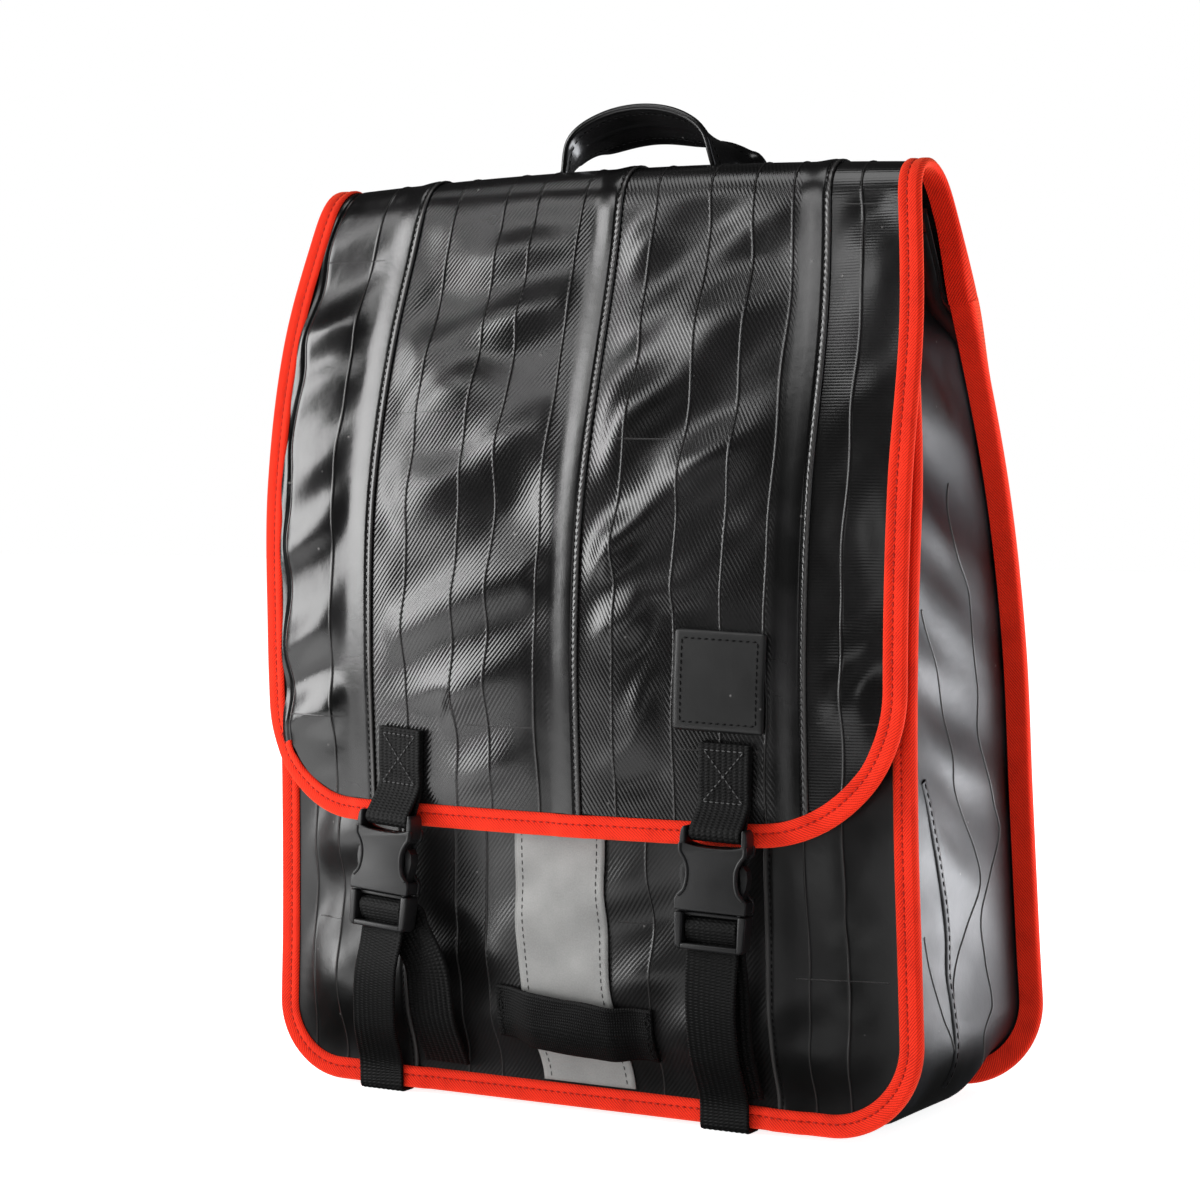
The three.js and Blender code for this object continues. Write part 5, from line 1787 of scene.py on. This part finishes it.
@dataclass
class Fastening(Part):
    """A tab, a side-release buckle and the strap that goes down from it, on each side of the front."""

    x: float = 76
    bar_out: float = 8.4
    tab_width: float = 22
    tab_layer: float = 1.35
    tab_top: float = 156.6
    tab_sewn: float = 132.6
    strap_width: float = 22
    strap_thick: float = 1.4
    bar: float = 1.6
    inner_bar: tuple[float, float, float] = (0.6, -36.8, 1.9)
    plug_end: float = -45.8

    def face(self, x: float, z: float) -> float:
        """The depth of the flap's outer face at a place on its front."""
        return float(self.form.flap(x, self.form.flap_s(z))[1])

    def hanging(self, closure: Closure) -> Matrix:
        """The place of a closure's tab, at its bar's height on the flap.

        Args:
            closure: The closure.

        Returns:
            The place, in millimetres.
        """
        x = closure.side.value * self.x
        near = closure.height + 20
        slope = (self.face(x + 4, near) - self.face(x - 4, near)) / 8
        place = Matrix.Translation((x, self.face(x, closure.height), closure.height))
        return place @ Matrix.Rotation(math.atan(slope), 4, "Z") @ Matrix.Rotation(closure.roll, 4, "Y")

    def buckle(self, closure: Closure) -> Matrix:
        """The place of a closure's buckle, about its bar."""
        place = self.hanging(closure) @ Matrix.Translation((0, -self.bar_out, 0))
        return place @ Matrix.Rotation(-closure.tilt, 4, "X")

    def make(self) -> None:
        """Makes both closures."""
        thread = Stitching(length=1.9, pitch=2.3, width=0.55, height=0.4)
        for closure in CLOSURES:
            self.make_tab(closure, thread)
            self.make_socket(closure)
            self.make_plug(closure)
            self.make_strap(closure)
        thread.finish("tab_stitches", self.finishes.tab_thread)

    def make_tab(self, closure: Closure, thread: Stitching) -> None:
        """Makes the folded tab and sews it down with a row at its top, a row at its bottom and a cross.

        Args:
            closure: The closure.
            thread: The stitches that take its rows.
        """
        x = closure.side.value * self.x
        base = self.face(x, closure.height)
        place = self.hanging(closure)
        layer = self.tab_layer
        ring = self.bar + self.form.gap + layer / 2 + 0.15
        rear = [(self.face(x, z) - base - self.form.slack - layer / 2, z - closure.height)
                for z in (self.tab_top, 142, self.tab_sewn)]
        turn = np.radians(np.linspace(20, -200, 12))
        loop = [(-self.bar_out + ring * math.cos(angle), ring * math.sin(angle)) for angle in turn]
        outer = [(y - layer - 0.1, z) for y, z in reversed(rear)]
        path = smooth_path([(0, y, z) for y, z in rear + loop + outer], 1.2)
        section = band_section(self.tab_width, layer, 22, rib=2.4, rib_height=0.14)
        bm = swept_mesh(section, path, *ribbon_frame(path, X_AXIS))
        self.put(bm, place, closure, "webbing_tab", "tab", self.finishes.webbing)
        top, low = self.tab_top - closure.height - 2.6, self.tab_sewn - closure.height + 1
        wide = self.tab_width / 2 - 2.6
        corners = [(-wide, top), (wide, top), (wide, low), (-wide, low)]
        lines = [(0, 1), (2, 3), (0, 2), (1, 3)]
        depths, heights = np.array(outer).T
        for start, end in lines:
            spots = np.linspace(corners[start], corners[end], 24)
            depth = np.interp(spots[:, 1], heights, depths) - layer / 2 - 0.32
            local = stack(spots[:, 0], depth, spots[:, 1])
            world = np.array([place @ Vector(spot) for spot in local])
            outward = np.array(place.to_3x3() @ Vector((0, -1, 0)))
            thread.row(world, np.tile(outward, (len(world), 1)))

    def put(self, bm: BMesh, place: Matrix, closure: Closure, name: str, node: str, finish: Finish) -> None:
        """Moves a mesh in metres to its place on a closure, and makes its piece, named with its side.

        Args:
            bm: The mesh.
            place: Its place, in millimetres.
            closure: The closure.
            name: The piece's name, without the side.
            node: The solid's name, without the side.
            finish: Its finish.
        """
        moved = place.copy()
        moved.translation = place.translation * MM
        bm.transform(moved)
        word = closure.side.word
        add_piece(bm, f"{name}_{word}", finish, [f"{node}_{word}"], sharp=35)

    def make_socket(self, closure: Closure) -> None:
        """Makes the buckle's socket: two waisted plates, a closed mouth, and a bar between two posts.

        Args:
            closure: The closure.
        """
        bm = bmesh.new()
        waist = mirrored(smooth_path(SOCKET_HALF, 1.1).tolist())
        add_plate(bm, waist, -4.75, -2.7, 0.7)
        add_plate(bm, waist, 2.7, 4.75, 0.7)
        add_plate(bm, box_outline(13, -9.2, -6), -3.2, 3.2, 0.5)
        add_plate(bm, box_outline(10, -25.2, -7.6), -3.2, 3.2, 0.4)
        add_plate(bm, mirrored([(14.5, -25.2), (14.9, -26.6), (14.7, -30.2)]), -4.2, 4.2, 0.6)
        for sign in (-1, 1):
            add_plate(bm, [(sign * x, z) for x, z in SOCKET_POST], -4.4, 3.4, 0.8)
        add_rod(bm, self.bar, 12.8, 0, 0)
        bm.transform(Matrix.Scale(MM, 4))
        rim = smooth_path(SOCKET_RIM, 0.9)
        for sign in (-1, 1):
            line = stack(sign * rim[:, 0], np.full(len(rim), -4.7), rim[:, 1])
            add_bead(bm, line, np.tile([0, -1, 0], (len(line), 1)), 1.4, 0.55)
        self.put(bm, self.buckle(closure), closure, "buckle_socket", "socket", self.finishes.plastic)

    def make_plug(self, closure: Closure) -> None:
        """Makes the buckle's plug: two sprung arms, a frame and the bar that the strap goes round.

        Args:
            closure: The closure.
        """
        bm = bmesh.new()
        for sign in (-1, 1):
            add_plate(bm, [(sign * x, z) for x, z in PLUG_ARM], -2.3, 2.3, 0.6)
            add_plate(bm, [(sign * x, z) for x, z in PLUG_RAIL], -4.4, 3.8, 0.9)
        add_plate(bm, box_outline(12.2, -32.8, -31.2), -1.6, 3.4, 0.5)
        add_plate(bm, box_outline(12.2, self.plug_end, self.plug_end + 2.4), -4.3, -1.2, 0.8)
        y, z, radius = self.inner_bar
        add_rod(bm, radius, 12.1, y, z)
        bm.transform(Matrix.Scale(MM, 4))
        self.put(bm, self.buckle(closure), closure, "buckle_plug", "plug", self.finishes.plastic)

    def make_strap(self, closure: Closure) -> None:
        """Makes the strap from the bottom seam round the plug's bar, and its tail down under the tape.

        Args:
            closure: The closure.
        """
        form = self.form
        place = self.buckle(closure)
        y, z, radius = self.inner_bar
        around = radius + 0.4 + self.strap_thick / 2
        end, tape_face = self.plug_end, form.lift + 1.85
        bottom_face = float(form.front_at(8)) - tape_face - self.strap_thick / 2
        under = form.bottom - 0.3 - self.strap_thick / 2

        def held(depth: float, height: float) -> Array:
            """A place in the buckle, from its bar."""
            return np.array(place @ Vector((0, depth, height)))

        seam_y = float(form.front(closure.anchor_x, 15.6)[1]) - form.gap - 2.1
        anchor, anchor_top = np.array([closure.anchor_x, seam_y, 15.6]), held(y + around, end - 2)
        tail_top, tail_low = held(0.3, end - 2), np.array([closure.tail_x, bottom_face - 0.5, 13])
        sag = closure.sag
        rows = [
            anchor,
            anchor + 0.35 * (anchor_top - anchor) + (0.5 * sag, -4, 0),
            anchor + 0.75 * (anchor_top - anchor) + (1.1 * sag, -2, 0),
            anchor_top + (0.9 * sag, 0.12 * sag, 0),
            held(y + around + 0.15 * sag, end + 3.5) + (0.5 * sag, 0, 0),
            held(y + around + 0.05 * sag, z) + (0.1 * sag, 0, 0),
            held(y + 0.7 * around, z + 0.7 * around),
            held(y, z + around),
            held(y - 0.7 * around, z + 0.7 * around),
            held(y - around, z),
            held(y - 0.6 * around, end + 5),
            held(0.5, end + 2),
            tail_top,
            tail_top + 0.33 * (tail_low - tail_top) + (0, -5, 0),
            tail_top + 0.68 * (tail_low - tail_top) + (0, -5, 0),
            tail_low,
            np.array([closure.tail_x, bottom_face, 3.2]),
            np.array([closure.tail_x, bottom_face + 0.35, under + 0.35]),
            np.array([closure.tail_x, bottom_face + 1.4, under]),
            np.array([closure.tail_x, bottom_face + 8, under]),
        ]
        path = smooth_path(rows, 1.1)
        bar_way = np.array(place.to_3x3() @ Vector((1, 0, 0)))
        near_bar = 1 - smoothstep(np.abs(path[:, 2] - rows[7][2]), 14, 40)
        wide = unit(X_AXIS + near_bar[:, None] * (bar_way - X_AXIS))
        share = np.linspace(0, 1, len(path))
        freed = smoothstep(share, 0.5, 0.6) * (1 - smoothstep(path[:, 2], 34, 14))
        turn = np.radians(closure.tail_turn) * freed
        wide = wide * np.cos(turn)[:, None] + np.array([0, -1, 0]) * np.sin(turn)[:, None]
        section = band_section(self.strap_width, self.strap_thick, 44, rib=2.4, rib_height=0.22)
        bm = swept_mesh(section, path, *ribbon_frame(path, wide))
        word = closure.side.word
        add_piece(bm, f"webbing_strap_{word}", self.finishes.webbing, [f"strap_{word}"], sharp=70)


class RibbonRow(NamedTuple):
    """A place that a ribbon goes through, with the direction of its width there."""

    x: float
    y: float
    z: float
    wide: tuple[float, float, float]


@dataclass
class Handle(Part):
    """The carrying handle: a doubled rubber band with rolled edges, sewn on the back of the flap."""

    width: float = 24.5
    thick: float = 2.6
    foot: float = 51
    foot_flare: float = 0.06
    narrow: float = 0.06
    lean: float = 3.5

    def back_of_flap(self, z: float) -> float:
        """The depth of the flap's outer face behind, at a height."""
        form = self.form
        count = int(np.searchsorted(form.line_length, form.flap_over))
        behind = form.line[count:]
        return float(np.interp(z, behind[::-1, 1], behind[::-1, 0]))

    def section(self) -> Array:
        """A flat band whose edges are rolled over, with a seam in the middle of its under side."""
        flat = band_section(self.width, self.thick, 24)
        edge = smoothstep(np.abs(flat[:, 0]), self.width / 2 - 4.2, self.width / 2 - 2.4)
        groove = ridge(flat[:, 0], 0.8) * np.where(flat[:, 1] < 0, 0.7, 0)
        return stack(flat[:, 0], flat[:, 1] * (0.75 + 0.4 * edge - 0.3 * groove))

    def leaned(self, row: RibbonRow) -> RibbonRow:
        """A row moved with the arch, which leans to the right and is narrower than its feet are apart."""
        rise = float(smoothstep(row.z, 364, 392))
        return row._replace(x=row.x * (1 - self.narrow * rise) + self.lean * rise)

    def make(self) -> None:
        """Makes the band and its edge stitches."""
        face = self.form.gap + self.thick / 2 + 0.15
        half = [
            RibbonRow(self.foot, self.back_of_flap(336) + face, 336, (1, 0, 0)),
            RibbonRow(self.foot, self.back_of_flap(350) + face, 350, (1, 0, 0)),
            RibbonRow(self.foot, self.back_of_flap(364) + face + 0.6, 364, (1, 0.04, 0)),
            RibbonRow(46.5, -3, 377.5, (0.82, 0.55, -0.08)),
            RibbonRow(41.5, -8, 389, (0.5, 0.8, -0.2)),
            RibbonRow(32, -10, 399.5, (0.25, 0.85, -0.4)),
            RibbonRow(17, -10.5, 405, (0.08, 0.83, -0.55)),
        ]
        left = [RibbonRow(-row.x, row.y, row.z, (-row.wide[0], *row.wide[1:])) for row in half]
        even = left + [RibbonRow(0, -10.5, 407, (0, 0.82, -0.57))] + half[::-1]
        rows = [self.leaned(row) for row in even]
        path = smooth_path([row[:3] for row in rows], 1.6)
        nearest = [np.argmin(np.linalg.norm(path - np.array(row[:3]), axis=1)) for row in rows]
        knots = np.array(nearest) / (len(path) - 1)
        wide = Curve(knots, [row.wide for row in rows])(np.linspace(0, 1, len(path)))
        across, normal = ribbon_frame(path, wide)
        flare = 1 + self.foot_flare * (1 - smoothstep(path[:, 2], 352, 386))
        bm = swept_mesh(self.section(), path, across, normal, stack(flare, np.ones_like(flare)))
        add_piece(bm, "rubber_handle", self.finishes.rubber, ["handle"], sharp=70)
        thread = Stitching(length=2.2, pitch=3, width=0.6, height=0.4)
        for aside in (-1, 1):
            for face_side in (-1, 1):
                beside = aside * (self.width / 2 * flare - 4.6)
                row = path + across * beside[:, None] + normal * face_side * self.thick * 0.42
                thread.row(row[6:-6], normal[6:-6] * face_side)
        thread.finish("handle_stitches", self.finishes.black_thread)


@dataclass
class ShoulderStraps(Part):
    """Two shoulder straps on the back: a padded band, its webbing and a slider each."""

    handle: Handle
    pad_width: float = 52
    pad_thick: float = 10
    sewn_thick: float = 3
    webbing_width: float = 25
    webbing_thick: float = 1.5
    swell_cap: float = 2
    slider_half: float = 15.5
    slider_slot: float = 13.1
    slider_thick: float = 5.4
    slider_gap: float = 2.7
    slider_high: float = 9

    def make(self) -> None:
        """Makes both straps."""
        for side in Side:
            self.make_pad(side)
            self.make_webbing(side)

    def pad_path(self, side: Side) -> Array:
        """The middle line of a pad, from the top of the back down.

        Args:
            side: Which strap it is.

        Returns:
            The points of the line.
        """
        sewn = self.form.lift + self.form.gap + self.sewn_thick / 2
        top = ((364, 0), (346, 0), (334, 1))
        rows = [(90, self.handle.back_of_flap(z) + sewn + more, z) for z, more in top]
        rows += [(90, 24, 304), (90, 50, 256), (91, 70, 200), (92, 79, 150), (93, 80, 118)]
        return smooth_path([(side.value * x, y, z) for x, y, z in rows], 4)

    def make_pad(self, side: Side) -> None:
        """Makes a pad, swells it by cloth simulation, and sews its edge.

        Args:
            side: Which strap it is.
        """
        path = self.pad_path(side)
        share = np.linspace(0, 1, len(path))
        slim = 1 - 0.3 * smoothstep(share, 0.86, 1)
        thin = self.sewn_thick / self.pad_thick
        full = thin + (0.82 - thin) * smoothstep(share, 0.26, 0.42) - 0.35 * smoothstep(share, 0.9, 1)
        across, normal = ribbon_frame(path, X_AXIS)
        section = band_section(self.pad_width - 3, self.pad_thick, 14)
        bm = swept_mesh(section, path, across, normal, stack(slim, full))
        pad = add_piece(bm, f"padded_strap_{side.word}", self.finishes.pad, [f"pad_{side.word}"])
        self.swell(pad)
        thread = Stitching(length=2.6, pitch=3.6, width=0.8, height=0.5)
        for aside in (-1, 1):
            row = path + across * (aside * (self.pad_width / 2 - 5.5) * slim)[:, None]
            lift = self.pad_thick / 2 * full * 1.12 + 0.2
            thread.row((row - normal * lift[:, None])[4:-4], -normal[4:-4])
        thread.finish(f"pad_stitches_{side.word}", self.finishes.tab_thread)

    def swell(self, pad: bpy.types.Object) -> None:
        """Blows a pad up a little as cloth under pressure, and keeps its sewn end and how far it moves.

        Args:
            pad: The pad, as a closed piece.
        """
        scene = bpy.context.scene
        remesh = pad.modifiers.new("even", "REMESH")
        remesh.mode = "VOXEL"
        remesh.voxel_size = 4 * MM
        self.apply(pad)
        mesh = pad.data
        rest = np.empty(len(mesh.vertices) * 3)
        mesh.vertices.foreach_get("co", rest)
        rest = rest.reshape(-1, 3)
        sewn = pad.vertex_groups.new(name="sewn")
        sewn.add(np.flatnonzero((rest[:, 2] > 0.332) | (rest[:, 2] < 0.122)).tolist(), 1, "REPLACE")
        cloth = pad.modifiers.new("swell", "CLOTH")
        cloth.settings.use_pressure = True
        cloth.settings.uniform_pressure_force = 4
        cloth.settings.effector_weights.gravity = 0
        cloth.settings.vertex_group_mass = sewn.name
        cloth.settings.tension_stiffness = 25
        for number in range(1, 21):
            scene.frame_set(number)
        self.apply(pad)
        scene.frame_set(1)
        mesh = pad.data
        moved = np.empty(len(mesh.vertices) * 3)
        mesh.vertices.foreach_get("co", moved)
        moved = moved.reshape(-1, 3)
        step = moved - rest
        far = np.linalg.norm(step, axis=1, keepdims=True)
        capped = rest + step * np.minimum(1, self.swell_cap * MM / np.maximum(far, 1e-9))
        mesh.vertices.foreach_set("co", capped.ravel())
        mesh.shade_smooth()
        finer = pad.modifiers.new("finer", "SUBSURF")
        finer.levels = finer.render_levels = 1

    def apply(self, piece: bpy.types.Object) -> None:
        """Makes a piece's mesh what its modifiers show, and clears them."""
        graph = bpy.context.evaluated_depsgraph_get()
        shown = bpy.data.meshes.new_from_object(piece.evaluated_get(graph))
        piece.modifiers.clear()
        piece.data = shown

    def make_webbing(self, side: Side) -> None:
        """Makes the webbing below a pad and the slider on it.

        Args:
            side: Which strap it is.
        """
        rows = [(92, 85.6, 150), (93, 85.4, 122), (95, 83, 106), (97, 80.5, 94),
                (100, 76.5, 76), (105, 69.5, 54), (108, 64.8, 38), (110, 64.1, 25)]
        places = [(side.value * x, y, z) for x, y, z in rows]
        path = smooth_path(places, 1.4)
        section = band_section(self.webbing_width, self.webbing_thick, 40, rib=2.5, rib_height=0.18)
        bm = swept_mesh(section, path, *ribbon_frame(path, X_AXIS))
        name, node = f"webbing_lower_{side.word}", f"webbing_{side.word}"
        add_piece(bm, name, self.finishes.webbing, [node], sharp=70)
        self.make_slider(side, np.array(places[3]), unit(np.array(places[2]) - np.array(places[4])))

    def make_slider(self, side: Side, spot: Array, along: Array) -> None:
        """Makes the ring that slides on the webbing.

        Args:
            side: Which strap it is on.
            spot: Its middle.
            along: The direction of the webbing there.
        """
        bm = bmesh.new()
        high, thick, gap = self.slider_high / 2, self.slider_thick / 2, self.slider_gap / 2
        for near, far in ((-thick, -gap), (gap, thick)):
            add_plate(bm, box_outline(self.slider_half, -high, high), near, far, 0.45)
        wall = (self.slider_half - self.slider_slot) / 2
        for middle in (wall - self.slider_half, self.slider_half - wall):
            add_plate(bm, box_outline(wall, -high, high, middle), -thick, thick, 0.45)
        out = unit(np.cross(along, X_AXIS))
        right = np.cross(out, along)
        turn = stack(right, out, along, spot)
        place = Matrix([*turn.tolist(), (0, 0, 0, 1)])
        bm.transform(Matrix.Scale(MM, 4) @ place)
        name, node = f"strap_slider_{side.word}", f"slider_{side.word}"
        add_piece(bm, name, self.finishes.plastic, [node], sharp=35)


# Studio


class Softbox(NamedTuple):
    """A soft light: its place and aim in metres, its width and height, its power and its colour."""

    name: str
    place: tuple[float, float, float]
    aim: tuple[float, float, float]
    width: float
    height: float
    watts: float
    colour: str = "#ffffff"


@dataclass
class Studio:
    """The camera at the photograph's viewing angle, a pale floor and soft studio light."""

    camera_place: tuple[float, float, float] = (0.6313, -1.1131, 0.2640)
    azimuth: float = 30.58
    pitch: float = -2.51
    roll: float = 0.14
    lens: float = 90.675
    floor_reach: float = 6
    floor_colour: str = "#f4f4f4"
    room_glare: float = 0.03
    room_fill: float = 0.42
    floor_glow: float = 0.95
    softboxes: tuple[Softbox, ...] = (
        Softbox("key_left", (-1.86, -1.18, 0.72), (0, 0, 0.2), 0.95, 1.42, 42),
        Softbox("fill_front", (-1.45, -1.9, 1.9), (0, 0, 0.2), 1.1, 0.45, 7.8),
        Softbox("floor_left", (-0.62, -0.5, 0.012), (-0.62, -0.5, 1), 0.8, 0.6, 3.2),
        Softbox("floor_front", (-0.12, -0.33, 0.012), (-0.12, -0.33, 1), 0.5, 0.28, 0.5),
        Softbox("floor_right", (0.5, 0.45, 0.012), (0.5, 0.45, 1), 0.55, 0.7, 11.5, "#f8faff"),
        Softbox("strip_front", (0.1, -2.3, 0.45), (0, 0, 0.1), 0.4, 0.9, 1.4),
        Softbox("right_strip", (1.9, -0.2, 0.9), (0.1, 0, 0.2), 0.5, 1.3, 4.5, "#f4f7ff"),
        Softbox("back_right", (1.4, 1.7, 0.16), (0, 0, 0.1), 1.9, 0.26, 2, "#f8faff"),
        Softbox("top", (-0.5, -0.6, 2.1), (0, 0, 0.2), 1.2, 0.8, 9),
    )

    def make_camera(self) -> None:
        """Makes the camera."""
        data = bpy.data.cameras.new("camera")
        data.sensor_width = 36
        data.lens = self.lens
        data.clip_start, data.clip_end = 0.05, 50
        camera = add_object("camera", data)
        yaw, pitch = math.radians(self.azimuth), math.radians(self.pitch)
        ahead = Vector((-math.sin(yaw) * math.cos(pitch), math.cos(yaw) * math.cos(pitch), math.sin(pitch)))
        camera.location = self.camera_place
        camera.rotation_mode = "QUATERNION"
        turn = Matrix.Rotation(math.radians(self.roll), 3, ahead) @ ahead.to_track_quat("-Z", "Y").to_matrix()
        camera.rotation_quaternion = turn.to_quaternion()
        bpy.context.scene.camera = camera

    def make_floor(self) -> None:
        """Makes the floor."""
        bm = bmesh.new()
        bmesh.ops.create_grid(bm, x_segments=1, y_segments=1, size=self.floor_reach)
        mesh = bpy.data.meshes.new("floor")
        bm.to_mesh(mesh)
        bm.free()
        material, node = new_tree("painted_floor")
        paint = linear(self.floor_colour)
        glow = {"Emission Color": paint, "Emission Strength": self.floor_glow}
        end_tree(node, {"Base Color": paint, "Roughness": 0.9, "Specular IOR Level": 0.1, **glow})
        mesh.materials.append(material)
        floor = add_object("floor", mesh)
        floor.visible_glossy = False

    def make_light(self) -> None:
        """Makes the soft lights and a white room that lights the bag only a little."""
        for box in self.softboxes:
            data = bpy.data.lights.new(box.name, "AREA")
            data.shape = "RECTANGLE"
            data.size, data.size_y = box.width, box.height
            data.energy = box.watts
            data.color = linear(box.colour)[:3]
            light = add_object(box.name, data)
            light.location = box.place
            light.rotation_euler = (Vector(box.aim) - Vector(box.place)).to_track_quat("-Z", "Y").to_euler()
            light.visible_camera = False
        world = bpy.data.worlds.new("room")
        world.use_nodes = True
        world.node_tree.nodes.clear()
        node = partial(add_node, world.node_tree)
        dark, soft, white = (
            node("Background", {"Color": linear("#ffffff"), "Strength": strength})
            for strength in (self.room_glare, self.room_fill, 1)
        )
        lit = node("MixShader", {"Fac": node("LightPath", out="Is Diffuse Ray"), 1: dark, 2: soft})
        shown = node("MixShader", {"Fac": node("LightPath", out="Is Camera Ray"), 1: lit, 2: white})
        node("OutputWorld", {"Surface": shown})
        bpy.context.scene.world = world
        bpy.context.scene.view_settings.view_transform = "Standard"

    def make(self) -> None:
        """Makes the studio."""
        self.make_camera()
        self.make_floor()
        self.make_light()


def main() -> None:
    """Builds the studio and the bag."""
    logging.basicConfig(level=logging.INFO, format="%(name)s: %(message)s")
    Studio().make()
    form = BagForm()
    finishes = Finishes()
    handle = Handle(form, finishes)
    parts = (
        Flap(form, finishes), FrontPanel(form, finishes), BackPanel(form, finishes), Gusset(form, finishes),
        Bindings(form, finishes), Fastening(form, finishes), handle, ShoulderStraps(form, finishes, handle),
    )
    for part in parts:
        part.make()
        log.info("%s made", type(part).__name__)


if __name__ == "__main__":
    main()
